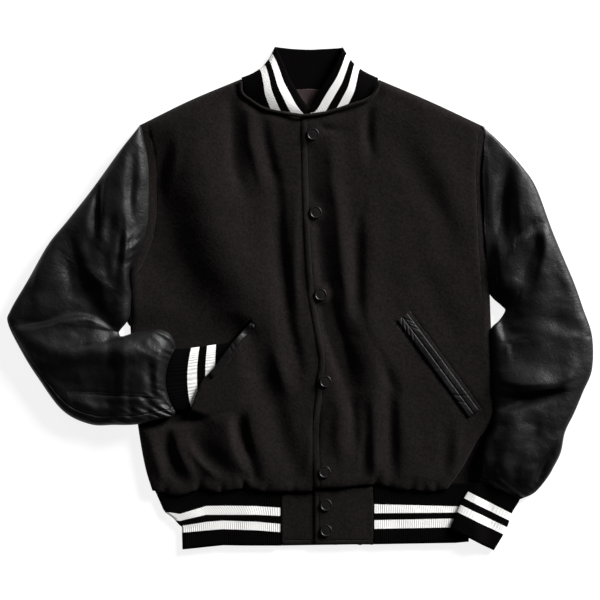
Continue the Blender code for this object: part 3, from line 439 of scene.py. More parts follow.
def folded(points, folds):
    """The height that folds add at each point. Each is highest in its middle and lower at its ends."""
    total = np.zeros(len(points))
    for fold in folds:
        gap, place, side = to_line(points, line(fold.path, FOLD_STEP))
        reach = np.where(side > 0, fold.left, fold.right)
        swell = 0.35 + 0.65 * np.sin(math.pi * np.clip(place, 0, 1)) ** 0.8
        total += fold.height * swell * np.exp(-((gap / reach) ** 2) * 1.5)
    return total


def pinched(points):
    """The small pinches that run up from the gathered hem."""
    total = np.zeros(len(points))
    for pinch in PINCHES:
        top = (pinch.x + pinch.lean * pinch.run, pinch.y + pinch.run)
        gap, place, _ = to_line(points, [(pinch.x, pinch.y - PINCH_START), top])
        width = PINCH_WIDTH + PINCH_WIDENS * place
        total += pinch.depth * (1 - place) ** 0.7 * np.exp(-((gap / width) ** 2))
    return total


def rumpled(points, size, depth, seed):
    """Low irregular unevenness of worn cloth: soft lumps of about that size, up to that depth."""
    places = np.column_stack([np.asarray(points, float) / size, np.full(len(points), seed)])
    return depth * np.array([noise.noise(Vector(place)) for place in places])


def grooves(points, paths):
    """A topstitched row pulls the cloth down in a narrow groove."""
    total = np.zeros(len(points))
    for path in paths:
        total -= GROOVE_DEPTH * np.exp(-((to_line(points, path)[0] / GROOVE_WIDTH) ** 2))
    return total


def body_height(points):
    """Height of the fronts' outer face. It rounds down at the free edges and dips to the sewn ones."""
    points = np.asarray(points, float)
    free = [RIGHT_SHOULDER, LEFT_SHOULDER, RIGHT_SIDE, LEFT_SIDE, RIGHT_HEM, LEFT_HEM]
    sewn = [RIGHT_ARMHOLE, LEFT_ARMHOLE, RIGHT_NECK, LEFT_NECK]
    edge = np.min([to_line(points, line(path, CLOTH_STEP))[0] for path in free], axis=0)
    seam = np.min([to_line(points, line(path, CLOTH_STEP))[0] for path in sewn], axis=0)
    low = SIDE_EDGE + (HEM_EDGE - SIDE_EDGE) * smoothstep((HEM_RISE_Y - points[:, 1]) / HEM_RISE)
    folds = folded(points, BODY_FOLDS) + rumpled(points, *BODY_SOFT) + rumpled(points, *BODY_FINE)
    inner = CROWN + folds * smoothstep(edge / FOLD_FADE)
    inner = SEAM_HEIGHT + (inner - SEAM_HEIGHT) * smoothstep(seam / SEAM_DIP)
    inner = LOWEST + TROUGH_SOFTNESS * np.logaddexp(0, (inner - LOWEST) / TROUGH_SOFTNESS)
    slope = np.where(points[:, 1] > ARM_MIDDLE_Y, PRESS_SLOPE_ABOVE, PRESS_SLOPE)
    arm = smoothstep(1.0 - (outside_by(points, ARM_ON_BODY) - PRESS_CLEAR) / slope)
    inner = inner + (PRESSED - inner) * arm * (points[:, 0] < 0)
    turn = np.clip(edge / EDGE_ROUND, 0, 1)
    return low + np.maximum(inner - low, 0) * np.sqrt(1 - (1 - turn) ** 2) + pinched(points)


def pocket_cover(points):
    """How far the pocket's outer side is lifted over the cuff, from 0 to 1."""
    _, place, side = to_line(points, RIGHT_POCKET)
    ends = smoothstep(np.minimum(place / COVER_ENDS[0], (1 - place) / COVER_ENDS[1]))
    over = smoothstep(1.0 - (outside_by(points, CUFF_IN_POCKET) - COVER_CLEAR) / COVER_SLOPE)
    return np.where(side > 0, over * ends, 0.0)


RIGHT_ROWS = [
    shifted(line(RIGHT_ARMHOLE, CLOTH_STEP), TOPSTITCH_FROM_ARMHOLE),
    shifted(line(RIGHT_POCKET[:4], CLOTH_STEP), TOPSTITCH_FROM_OPEN_POCKET),
]
LEFT_ROWS = [
    shifted(line(LEFT_ARMHOLE, CLOTH_STEP), -TOPSTITCH_FROM_ARMHOLE),
    shifted(line(FRONT_EDGE, CLOTH_STEP), TOPSTITCH_FROM_EDGE),
    shifted(line(LEFT_POCKET, CLOTH_STEP), TOPSTITCH_FROM_CLOSED_POCKET),
    shifted(line(LEFT_POCKET, CLOTH_STEP), -TOPSTITCH_FROM_CLOSED_POCKET),
]


def right_front_height(points):
    height = body_height(points)
    height = height + (POCKET_COVER - height) * pocket_cover(points)
    return height + grooves(points, RIGHT_ROWS)


def lapped_height(points):
    """The left front's outer face before its stitches and snaps: it laps over the right one."""
    points = np.asarray(points, float)
    edge = to_line(points, line(FRONT_EDGE, CLOTH_STEP))[0]
    height = body_height(points) + LAP * smoothstep(1.0 - (edge - UNDERLAP - LAP_CLEAR) / LAP_SLOPE)
    return height - FRONT_EDGE_DROP * (1 - np.clip(edge / FRONT_EDGE_TURN, 0, 1)) ** 2


def circle(middle, radius, count):
    turns = 2 * math.pi * np.arange(count) / count
    return np.column_stack([middle[0] + radius * np.cos(turns), middle[1] + radius * np.sin(turns)])


SNAP_LEVELS = [float(lapped_height(circle(place, SNAP_RADIUS, 16)).max()) for place in FRONT_SNAPS]


def left_front_height(points):
    """The left front's outer face. Each snap holds the cloth flat under its cap."""
    points = np.asarray(points, float)
    height = lapped_height(points)
    for place, level in zip(FRONT_SNAPS, SNAP_LEVELS):
        out = np.linalg.norm(points - place, axis=1)
        height = height + (level - height) * smoothstep(1.0 - (out - SNAP_RADIUS) / SNAP_PRESS)
    return height + grooves(points, LEFT_ROWS)


def back_height(points):
    edge = to_line(points, np.vstack([BACK_OUTLINE, BACK_OUTLINE[:1]]))[0]
    return WOOL + np.maximum(folded(points, BACK_FOLDS), 0) * smoothstep(edge / BACK_EDGE_FLAT)


def joined(edges):
    """Edges joined head to tail into one outline at the cloth's mesh spacing."""
    return np.concatenate([line(edge, CLOTH_STEP)[:-1] for edge in edges])


def panel(name, outline, height, thickness, rows=(), mouth=None, step=CLOTH_STEP):
    """A flat-cut panel: a fine mesh inside its outline, closer at the edge and along each stitched row."""
    low, high = outline.min(axis=0), outline.max(axis=0)
    grid = []
    for row, y in enumerate(np.arange(low[1], high[1], step * TRIANGLE_ROWS)):
        xs = np.arange(low[0], high[0], step) + (row % 2) * step / 2
        grid.append(np.column_stack([xs, np.full(len(xs), y)]))
    grid = np.concatenate(grid)
    closed = np.vstack([outline, outline[:1]])
    grid = grid[inside(grid, outline) & (to_line(grid, closed)[0] > EDGE_RINGS[-1] + step / 2)]
    turned = np.roll(outline, -1, axis=0) - np.roll(outline, 1, axis=0)
    turned = turned / np.linalg.norm(turned, axis=1)[:, None]
    area = (outline[:, 0] * np.roll(outline[:, 1], -1) - np.roll(outline[:, 0], -1) * outline[:, 1]).sum()
    inward = np.stack([-turned[:, 1], turned[:, 0]], axis=1) * np.sign(area)
    rings = []
    for inset in EDGE_RINGS:
        ring = outline + inward * inset
        rings.append(ring[inside(ring, outline) & (to_line(ring, closed)[0] > inset * 0.9)])
    loops = [outline]
    if mouth is not None:
        loops.append(mouth)
        rim = np.vstack([mouth, mouth[:1]])
        grid = grid[to_line(grid, rim)[0] > step / 2]
    for path in rows:
        grid = grid[to_line(grid, path)[0] > GROOVE_ROWS[-1] + step / 2]
        for offset in GROOVE_ROWS:
            row = shifted(path, offset)
            rings.append(row[inside(row, outline) & (to_line(row, closed)[0] > EDGE_RINGS[-1])])
    edges_in, start = [], 0
    for loop in loops:
        edges_in += [(start + at, start + (at + 1) % len(loop)) for at in range(len(loop))]
        start += len(loop)
    points = np.concatenate(loops + rings + [grid])
    placed, _, faces, _, _, _ = delaunay_2d_cdt([Vector(point) for point in points], edges_in, [], 0, MERGE)
    placed = np.array([tuple(point) for point in placed])
    faces = [tuple(face) for face in faces]
    middle = np.array([placed[list(face)].mean(axis=0) for face in faces])
    keep = inside(middle, outline)
    for hole in loops[1:]:
        keep &= ~inside(middle, hole)
    faces = [face for face, kept in zip(faces, keep) if kept]
    used = sorted({corner for face in faces for corner in face})
    index = {corner: at for at, corner in enumerate(used)}
    plan = placed[used]
    mesh = bpy.data.meshes.new(name)
    corners = [(x, y, z) for (x, y), z in zip(plan, height(plan))]
    mesh.from_pydata(corners, [], [[index[corner] for corner in face] for face in faces])
    mesh.update()
    if mesh.polygons[0].normal.z < 0:
        mesh.flip_normals()
    return thicken(add_piece(name, mesh), thickness)


def add_piece(name, mesh):
    """Puts a mesh into the scene, smooth, riding on the jacket's one body."""
    mesh.shade_smooth()
    obj = bpy.data.objects.new(name, mesh)
    bpy.context.scene.collection.objects.link(obj)
    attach(obj, "root")
    return obj


def thicken(obj, thickness):
    """Gives an open sheet of cloth its thickness, below its face."""
    wall = obj.modifiers.new("wall", "SOLIDIFY")
    wall.thickness = thickness
    wall.offset = -1.0
    wall.use_rim = True
    return obj


def dress(obj, material, slot, *nodes):
    """Gives a piece its material and hides the solids that it stands for. The slot is not used."""
    obj.data.materials.append(material)
    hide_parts(*nodes)
    return obj


def melton():
    """Melton, fulled and brushed: no weave shows, only a short nap that scatters light and greys at a slant.

    The nap's fibres are 0.02 mm, too fine to draw, so they are drawn as tufts of 1.2 mm and clumps of 4 mm.
    """
    made, tree, out = new_material("melton_wool")
    place = node(tree, "ShaderNodeTexCoord")
    clumps = node(tree, "ShaderNodeTexNoise",
                  {"Vector": place.outputs["Object"], "Scale": 250.0, "Detail": 4.0})
    tufts = node(tree, "ShaderNodeTexNoise",
                 {"Vector": place.outputs["Object"], "Scale": 830.0, "Detail": 4.0, "Roughness": 0.7})
    mottle = node(tree, "ShaderNodeMix", {0: 0.5, 2: clumps.outputs["Fac"], 3: tufts.outputs["Fac"]})
    tone = node(tree, "ShaderNodeValToRGB", {"Fac": mottle.outputs[0]})
    tone.color_ramp.elements[0].position = 0.40
    tone.color_ramp.elements[0].color = linear("#030202")
    tone.color_ramp.elements[1].position = 0.60
    tone.color_ramp.elements[1].color = linear("#171111")
    nap = node(tree, "ShaderNodeBump",
               {"Height": mottle.outputs[0], "Strength": 0.80, "Distance": 0.0016})
    shader = node(tree, "ShaderNodeBsdfPrincipled", {
        "Base Color": tone.outputs["Color"], "Roughness": 0.95, "Specular IOR Level": 0.12,
        "Sheen Weight": 0.06, "Sheen Roughness": 0.55, "Sheen Tint": linear("#b8a8a6"),
        "Normal": nap.outputs["Normal"],
    })
    tree.links.new(shader.outputs[0], out.inputs[0])
    return made


def pocket_mouth():
    """The right-hand pocket's opening: a narrow gap either side of its line, closed at both ends."""
    path = line(RIGHT_POCKET, CLOTH_STEP)
    upper, lower = shifted(path, MOUTH), shifted(path, -MOUTH)
    return np.vstack([path[:1], upper[1:-1], path[-1:], lower[1:-1][::-1]])


MELTON = melton()
side_run = line(RIGHT_SIDE, CLOTH_STEP)
side_run = side_run[side_run[:, 1] > BACK_HEM_Y + BACK_SIDE_END]
side_run[1:, 0] -= BACK_BULGE * smoothstep((side_run[1:, 1] - BACK_BULGE_Y) / BACK_BULGE_RUN)
BACK_OUTLINE = joined([
    BACK_NECK[::-1], RIGHT_SHOULDER, RIGHT_ARMHOLE,
    [tuple(point) for point in side_run] + [BACK_RIGHT_CORNER],
    [BACK_RIGHT_CORNER, BACK_LEFT_SIDE[-1]], BACK_LEFT_SIDE[::-1], LEFT_ARMHOLE[::-1], LEFT_SHOULDER[::-1],
])
under_edge = [(x + UNDERLAP, y) for x, y in FRONT_EDGE]
under_edge[0] = (UNDERLAP, UNDERLAP_TOP_Y)
under_edge[-1] = (FRONT_EDGE[-1][0] + UNDERLAP, UNDERLAP_HEM_Y)
RIGHT_OUTLINE = joined([
    RIGHT_SHOULDER, RIGHT_ARMHOLE, RIGHT_SIDE, RIGHT_HEM, [RIGHT_HEM[-1], HEM_STEP],
    [HEM_STEP, under_edge[-1]],
    under_edge[::-1], [under_edge[0], RIGHT_NECK[-1]], RIGHT_NECK[::-1],
])
LEFT_OUTLINE = joined([
    LEFT_NECK, LEFT_SHOULDER, LEFT_ARMHOLE, LEFT_SIDE, LEFT_HEM[::-1], FRONT_EDGE[::-1],
])
back = dress(panel("melton_back", BACK_OUTLINE, back_height, WOOL), MELTON, "wool_melton", "back")
right_front = panel(
    "melton_front_right", RIGHT_OUTLINE, right_front_height, WOOL, rows=RIGHT_ROWS, mouth=pocket_mouth()
)
dress(right_front, MELTON, "wool_melton", "front_right")
left_front = panel("melton_front_left", LEFT_OUTLINE, left_front_height, WOOL, rows=LEFT_ROWS)
dress(left_front, MELTON, "wool_melton", "front_left")

# -----------------------------------------------------------------------------------------------------------
# The sleeves: black cowhide, 1.8 mm with its backing, tumbled soft so that its grain stands up. Each has a
# top sleeve pieced across the elbow and an under sleeve in one length. The right forearm is folded back and
# lies on the body, and the left arm lies beside it with a fold under the elbow.
# -----------------------------------------------------------------------------------------------------------
LEATHER = 0.0018
ARMHOLE_GAP = -0.0016
ELBOW_TUCK = 0.0014
ELBOW_TUCK_RUN = 0.075
ELBOW_TUCK_TURNS = (0.02, 0.12)
ELBOW_ROWS = (0.004, 0.03, 0.07, 0.13)
ARM_REST = 0.0088
BAND_REST = 0.0080
SIDE_HEIGHT = 0.009
SIDE_SHARE = 0.35
ACROSS_POWER = 0.8
# How full a section is: the lower the power, the squarer it stands, and the arm's back is the fuller half.
TOP_POWER = 0.80
OUTER_POWER = 0.50
UNDER_POWER = 0.3
# The share of the first row over which folds die away into the armhole seam.
ARMHOLE_FLAT = 0.5
STATIONS_A_STEP = 10
TOP_COLUMNS = 72
UNDER_COLUMNS = 48
SEAM_CROWDING = 0.7
SEAM_TURN = 0.0008
SEAM_TUCK = 0.0004
SEAM_TUCK_TURN = 0.006
PUCKER_RUN = 0.024
PUCKER_DEPTH = 0.0020
PUCKER_STEP = 0.0125
PUCKER_PATCHES = (0.016, 1.6, 9.6)
PUCKER_END = 0.004
CUFF_FLAT = 0.010
ARM_SOFT = (0.030, 0.0022)
ARM_FINE = (0.011, 0.0009)
RIGHT_ELBOW = 5
LEFT_ELBOW = 9

# One section for each row, from the armhole to the cuff. The outer edge is the back of the arm, the height
# is above what the sleeve rests on, cap is how far the section follows the armhole, seam is how far the
# under sleeve comes round the outer edge, and bow bends the section towards the cuff.
Section = namedtuple("Section", "outer_x outer_y inner_x inner_y height cap seam bow")
RIGHT_SLEEVE = [
    Section(-0.233, 0.252, -0.249, 0.044, 0.0090, 1.0, 0.00, 0.0),
    Section(-0.249, 0.231, -0.2495, 0.038, 0.0190, 0.6, 0.00, 0.0),
    Section(-0.268, 0.207, -0.2480, 0.030, 0.0255, 0.2, 0.00, 0.0),
    Section(-0.303, 0.158, -0.2465, 0.022, 0.0300, 0.0, 0.00, 0.0),
    Section(-0.336, 0.116, -0.2450, 0.012, 0.0300, 0.0, 0.00, 0.0),
    Section(-0.365, 0.080, -0.2445, 0.002, 0.0290, 0.0, 0.00, 0.0),
    Section(-0.394, 0.029, -0.2475, -0.026, 0.0280, 0.0, 0.00, 0.0),
    Section(-0.419, -0.014, -0.2590, -0.042, 0.0270, 0.0, 0.02, 0.0),
    Section(-0.423, -0.034, -0.2620, -0.047, 0.0260, 0.0, 0.04, 0.0),
    Section(-0.403, -0.075, -0.2600, -0.052, 0.0290, 0.0, 0.06, 0.0),
    Section(-0.380, -0.112, -0.2550, -0.052, 0.0310, 0.0, 0.08, 0.0),
    Section(-0.344, -0.160, -0.2460, -0.049, 0.0320, 0.0, 0.10, 0.0),
    Section(-0.304, -0.180, -0.2350, -0.046, 0.0320, 0.0, 0.11, 0.0),
    Section(-0.268, -0.181, -0.2220, -0.044, 0.0310, 0.0, 0.11, 0.0),
    Section(-0.235, -0.180, -0.2060, -0.042, 0.0290, 0.0, 0.11, -0.004),
    Section(-0.206, -0.173, -0.1910, -0.047, 0.0250, 0.0, 0.11, -0.008),
    Section(-0.185, -0.169, -0.1835, -0.057, 0.0180, 0.0, 0.11, -0.014),
    Section(-0.180, -0.162, -0.1800, -0.070, 0.0090, 0.0, 0.11, -0.0145),
]
LEFT_SLEEVE = [
    Section(0.265, 0.252, 0.275, 0.010, 0.0112, 1.0, 0.00, 0.0),
    Section(0.280, 0.238, 0.2790, 0.003, 0.0138, 0.6, 0.00, 0.0),
    Section(0.297, 0.222, 0.2825, -0.001, 0.0170, 0.2, 0.00, 0.0),
    Section(0.322, 0.193, 0.2880, -0.005, 0.0225, 0.0, 0.00, 0.0),
    Section(0.342, 0.163, 0.2935, -0.010, 0.0265, 0.0, 0.00, 0.0),
    Section(0.364, 0.104, 0.2970, -0.014, 0.0290, 0.0, 0.00, 0.0),
    Section(0.380, 0.065, 0.2950, -0.020, 0.0280, 0.0, 0.00, 0.0),
    Section(0.397, 0.025, 0.2880, -0.030, 0.0280, 0.0, 0.00, 0.0),
    Section(0.410, -0.012, 0.2765, -0.042, 0.0280, 0.0, 0.00, 0.0),
    Section(0.423, -0.052, 0.2765, -0.062, 0.0290, 0.0, 0.02, 0.0),
    Section(0.423, -0.100, 0.2785, -0.105, 0.0290, 0.0, 0.04, 0.0),
    Section(0.410, -0.133, 0.2800, -0.138, 0.0280, 0.0, 0.05, 0.0),
    Section(0.397, -0.164, 0.2805, -0.162, 0.0290, 0.0, 0.06, 0.0),
    Section(0.384, -0.191, 0.2770, -0.186, 0.0290, 0.0, 0.07, 0.0),
    Section(0.378, -0.220, 0.2680, -0.204, 0.0280, 0.0, 0.07, 0.0),
    Section(0.368, -0.241, 0.2640, -0.222, 0.0270, 0.0, 0.07, 0.0),
    Section(0.358, -0.258, 0.2630, -0.238, 0.0250, 0.0, 0.07, 0.0),
    Section(0.340, -0.279, 0.2630, -0.250, 0.0190, 0.0, 0.07, 0.0),
    Section(0.319, -0.289, 0.2600, -0.262, 0.0090, 0.0, 0.07, 0.0),
]
# Where a sleeve climbs on to the body: it starts to rise at the first x and is fully up at the second.
Rest = namedtuple("Rest", "start full height")
RIGHT_REST = Rest(-0.280, -0.252, ARM_REST)
LEFT_REST = Rest(0.276, 0.252, BAND_REST)

RIGHT_ARM_FOLDS = [
    Fold([
        (-0.274, 0.217), (-0.279, 0.181), (-0.281, 0.145), (-0.286, 0.109), (-0.289, 0.083)
    ], 0.022, 0.009, 0.0070),
    Fold([(-0.286, 0.196), (-0.291, 0.159), (-0.297, 0.123), (-0.302, 0.087)], 0.008, 0.012, -0.0022),
    Fold([(-0.302, 0.159), (-0.309, 0.123), (-0.310, 0.087)], 0.010, 0.012, 0.0030),
    Fold([(-0.240, 0.217), (-0.243, 0.181), (-0.245, 0.145), (-0.244, 0.120)], 0.008, 0.008, -0.0045),
    Fold([
        (-0.333, 0.090), (-0.326, 0.064), (-0.316, 0.036), (-0.309, 0.007), (-0.304, -0.017)
    ], 0.010, 0.034, -0.0070),
    Fold([(-0.284, 0.083), (-0.286, 0.055), (-0.283, 0.022), (-0.275, -0.012)], 0.014, 0.014, 0.0045),
    Fold([(-0.260, 0.099), (-0.261, 0.072), (-0.264, 0.043)], 0.004, 0.005, -0.0030),
    Fold([(-0.251, 0.109), (-0.251, 0.080), (-0.255, 0.055)], 0.005, 0.005, 0.0025),
    Fold([(-0.302, 0.022), (-0.296, 0.000), (-0.290, -0.026)], 0.012, 0.014, -0.0050),
    Fold([(-0.307, 0.046), (-0.300, 0.035), (-0.290, 0.026)], 0.006, 0.005, 0.0025),
    Fold([(-0.377, 0.072), (-0.380, 0.043), (-0.383, 0.012)], 0.034, 0.010, 0.0080),
    Fold([(-0.335, 0.055), (-0.333, 0.032), (-0.329, 0.006)], 0.005, 0.006, -0.0040),
    Fold([(-0.315, 0.046), (-0.293, 0.038), (-0.273, 0.014)], 0.009, 0.030, 0.0025),
    Fold([(-0.291, 0.171), (-0.293, 0.133), (-0.294, 0.090)], 0.005, 0.005, -0.0060),
    Fold([(-0.271, 0.123), (-0.274, 0.099), (-0.283, 0.070), (-0.287, 0.046)], 0.006, 0.006, -0.0035),
    Fold([(-0.273, 0.072), (-0.273, 0.046), (-0.274, 0.017)], 0.008, 0.006, 0.0030),
    Fold([(-0.255, 0.113), (-0.257, 0.080), (-0.260, 0.049)], 0.004, 0.004, -0.0030),
    Fold([(-0.342, -0.072), (-0.302, -0.065), (-0.261, -0.054)], 0.004, 0.004, -0.0012),
    # Puckers where the top sleeve is eased into the armhole.
    Fold([(-0.228, 0.110), (-0.239, 0.103), (-0.251, 0.097)], 0.003, 0.004, -0.0046),
    Fold([(-0.228, 0.094), (-0.241, 0.086), (-0.252, 0.080)], 0.004, 0.003, -0.0048),
    Fold([(-0.231, 0.078), (-0.241, 0.070), (-0.248, 0.067)], 0.003, 0.003, -0.0036),
    Fold([(-0.226, 0.128), (-0.236, 0.120), (-0.244, 0.117)], 0.003, 0.003, -0.0030),
    Fold([(-0.236, 0.064), (-0.246, 0.055), (-0.254, 0.052)], 0.003, 0.004, -0.0036),
    # Forearm.
    Fold([
        (-0.406, -0.058), (-0.370, -0.072), (-0.326, -0.077), (-0.283, -0.074), (-0.246, -0.075),
        (-0.215, -0.075)
    ], 0.026, 0.018, 0.0080),
    Fold([(-0.377, -0.107), (-0.333, -0.125), (-0.283, -0.133), (-0.232, -0.132)], 0.020, 0.050, -0.0045),
    Fold([(-0.267, -0.084), (-0.265, -0.109), (-0.264, -0.133)], 0.007, 0.010, -0.0030),
    Fold([(-0.220, -0.090), (-0.217, -0.113), (-0.215, -0.133)], 0.007, 0.008, -0.0026),
    Fold([(-0.204, -0.075), (-0.206, -0.109), (-0.203, -0.151)], 0.006, 0.009, 0.0026),
    Fold([(-0.333, -0.142), (-0.304, -0.154), (-0.273, -0.159)], 0.008, 0.008, 0.0022),
    Fold([(-0.249, -0.145), (-0.244, -0.159), (-0.246, -0.174)], 0.006, 0.007, -0.0024),
    Fold([(-0.223, -0.148), (-0.219, -0.162), (-0.223, -0.177)], 0.006, 0.006, -0.0024),
    Fold([(-0.336, -0.133), (-0.290, -0.136), (-0.239, -0.139), (-0.202, -0.144)], 0.003, 0.003, -0.0022),
    Fold([(-0.329, -0.134), (-0.328, -0.165)], 0.003, 0.003, -0.0012),
]
LEFT_ARM_FOLDS = [
    Fold([(0.270, -0.162), (0.258, -0.203), (0.254, -0.246)], 0.050, 0.010, 0.0090),
    Fold([(0.281, 0.061), (0.284, 0.029), (0.290, 0.003)], 0.018, 0.008, 0.0040),
    Fold([(0.302, 0.191), (0.297, 0.159), (0.294, 0.128), (0.294, 0.090)], 0.011, 0.013, -0.0115),
    Fold([(0.318, 0.191), (0.318, 0.152), (0.320, 0.116), (0.325, 0.084)], 0.026, 0.009, 0.0050),
    Fold([(0.339, 0.099), (0.336, 0.077), (0.329, 0.054), (0.322, 0.023)], 0.012, 0.022, -0.0095),
    Fold([(0.341, 0.096), (0.344, 0.075), (0.339, 0.058)], 0.010, 0.008, -0.0050),
    Fold([(0.355, 0.101), (0.354, 0.072), (0.348, 0.043), (0.341, 0.017)], 0.020, 0.006, 0.0045),
    Fold([(0.289, 0.090), (0.289, 0.061), (0.291, 0.032), (0.297, 0.012)], 0.024, 0.009, 0.0065),
    Fold([(0.287, 0.014), (0.291, -0.023), (0.299, -0.058)], 0.034, 0.010, -0.0140),
    Fold([(0.273, 0.217), (0.274, 0.174), (0.273, 0.123)], 0.014, 0.006, 0.0030),
    Fold([(0.355, -0.030), (0.389, -0.041), (0.423, -0.048)], 0.016, 0.010, -0.0040),
    Fold([(0.367, 0.099), (0.380, 0.055), (0.394, 0.012)], 0.012, 0.012, 0.0026),
    Fold([(0.278, -0.113), (0.319, -0.122), (0.355, -0.125), (0.380, -0.119)], 0.024, 0.007, 0.0075),
    Fold([(0.278, -0.158), (0.307, -0.151), (0.341, -0.142), (0.371, -0.133)], 0.014, 0.010, -0.0090),
    Fold([(0.309, -0.157), (0.304, -0.196), (0.299, -0.235), (0.296, -0.261)], 0.030, 0.014, 0.0040),
    Fold([(0.342, -0.174), (0.339, -0.197), (0.331, -0.213)], 0.008, 0.008, -0.0025),
    Fold([(0.371, -0.212), (0.355, -0.235), (0.342, -0.264)], 0.007, 0.008, -0.0085),
    Fold([(0.386, -0.197), (0.371, -0.229), (0.357, -0.255)], 0.008, 0.005, 0.0030),
    Fold([(0.322, -0.212), (0.313, -0.235), (0.310, -0.261)], 0.006, 0.008, -0.0025),
    Fold([(0.281, -0.203), (0.281, -0.235), (0.287, -0.261)], 0.008, 0.008, -0.0030),
    Fold([(0.394, -0.087), (0.391, -0.123), (0.380, -0.159)], 0.012, 0.012, 0.0024),
]
# A lip is a fold's edge that lies over what is beside it: high on the right of its path, and down at once on
# its left. It runs back so far before it dies away.
Lip = namedtuple("Lip", "path run height")
LIP_ROUND = 0.0080
LIP_STEP = 0.006
RIGHT_ARM_LIPS = [
    Lip([
        (-0.424, -0.042), (-0.373, -0.035), (-0.330, -0.024), (-0.300, -0.026), (-0.262, -0.049)
    ], 0.040, 0.0055),
]
LEFT_ARM_LIPS = [
    Lip([(0.296, 0.068), (0.310, 0.084), (0.336, 0.102), (0.362, 0.106)], 0.022, 0.0065),
    Lip([(0.376, -0.131), (0.330, -0.137), (0.280, -0.133)], 0.022, 0.0060),
]


def lipped(points, lips):
    total = np.zeros(len(points))
    for lip in lips:
        gap, place, side = to_line(points, line(lip.path, LIP_STEP))
        swell = np.sin(math.pi * np.clip(0.08 + 0.84 * place, 0, 1)) ** 0.7
        over = smoothstep(0.5 - side * gap / LIP_ROUND)
        back = np.exp(-((gap / lip.run) ** 2))
        under = np.exp(-((gap / (lip.run * 0.35)) ** 2))
        total += swell * lip.height * (over * back - 0.45 * (1 - over) * under)
    return total


def section_points(section, turns, armhole, rest):
    """Points round a section: turn 0 is the outer edge, 0.25 the top, 0.5 the inner edge, 0.75 below."""
    angle = 2 * math.pi * np.asarray(turns)
    level, rise = np.cos(angle), np.sin(angle)
    across = (1 - np.sign(level) * np.abs(level) ** ACROSS_POWER) / 2
    outer = np.array([section.outer_x, section.outer_y])
    inner = np.array([section.inner_x, section.inner_y])
    chord = inner - outer
    forward = np.array([chord[1], -chord[0]]) / np.linalg.norm(chord)
    forward = forward if forward[0] * np.sign(section.outer_x) < 0 else -forward
    plan = outer + chord * across[:, None] + forward * (section.bow * 4 * across * (1 - across))[:, None]
    if armhole is not None and section.cap > 0:
        run = np.linspace(0, 1, len(armhole))
        sewn = np.stack([np.interp(across, run, armhole[:, axis]) for axis in range(2)], axis=1)
        sewn[:, 0] += math.copysign(1, section.outer_x) * ARMHOLE_GAP
        plan = plan + (sewn - plan) * section.cap
    side = min(SIDE_HEIGHT, section.height * SIDE_SHARE)
    top = side + (section.height - side) * np.abs(rise) ** np.where(across < 0.5, OUTER_POWER, TOP_POWER)
    bottom = side * (1 - np.abs(rise) ** UNDER_POWER)
    lift = rest.height * smoothstep((plan[:, 0] - rest.start) / (rest.full - rest.start))
    return np.column_stack([plan, np.where(rise >= 0, top, bottom) + lift]), rise


def sleeve_turns(start, end, count):
    """Turns across a piece of the sleeve, closer together near its two seams."""
    share = np.linspace(0, 1, count)
    share = share - SEAM_CROWDING * np.sin(2 * math.pi * share) / (2 * math.pi)
    return start + SEAM_TURN + (end - start - 2 * SEAM_TURN) * share


Arm = namedtuple("Arm", "table armhole rest folds lips seed")
ARMS = {
    "right": Arm(RIGHT_SLEEVE, line(RIGHT_ARMHOLE, CLOTH_STEP), RIGHT_REST, RIGHT_ARM_FOLDS, RIGHT_ARM_LIPS,
                 2.3),
    "left": Arm(LEFT_SLEEVE, line(LEFT_ARMHOLE, CLOTH_STEP), LEFT_REST, LEFT_ARM_FOLDS, LEFT_ARM_LIPS, 6.1),
}


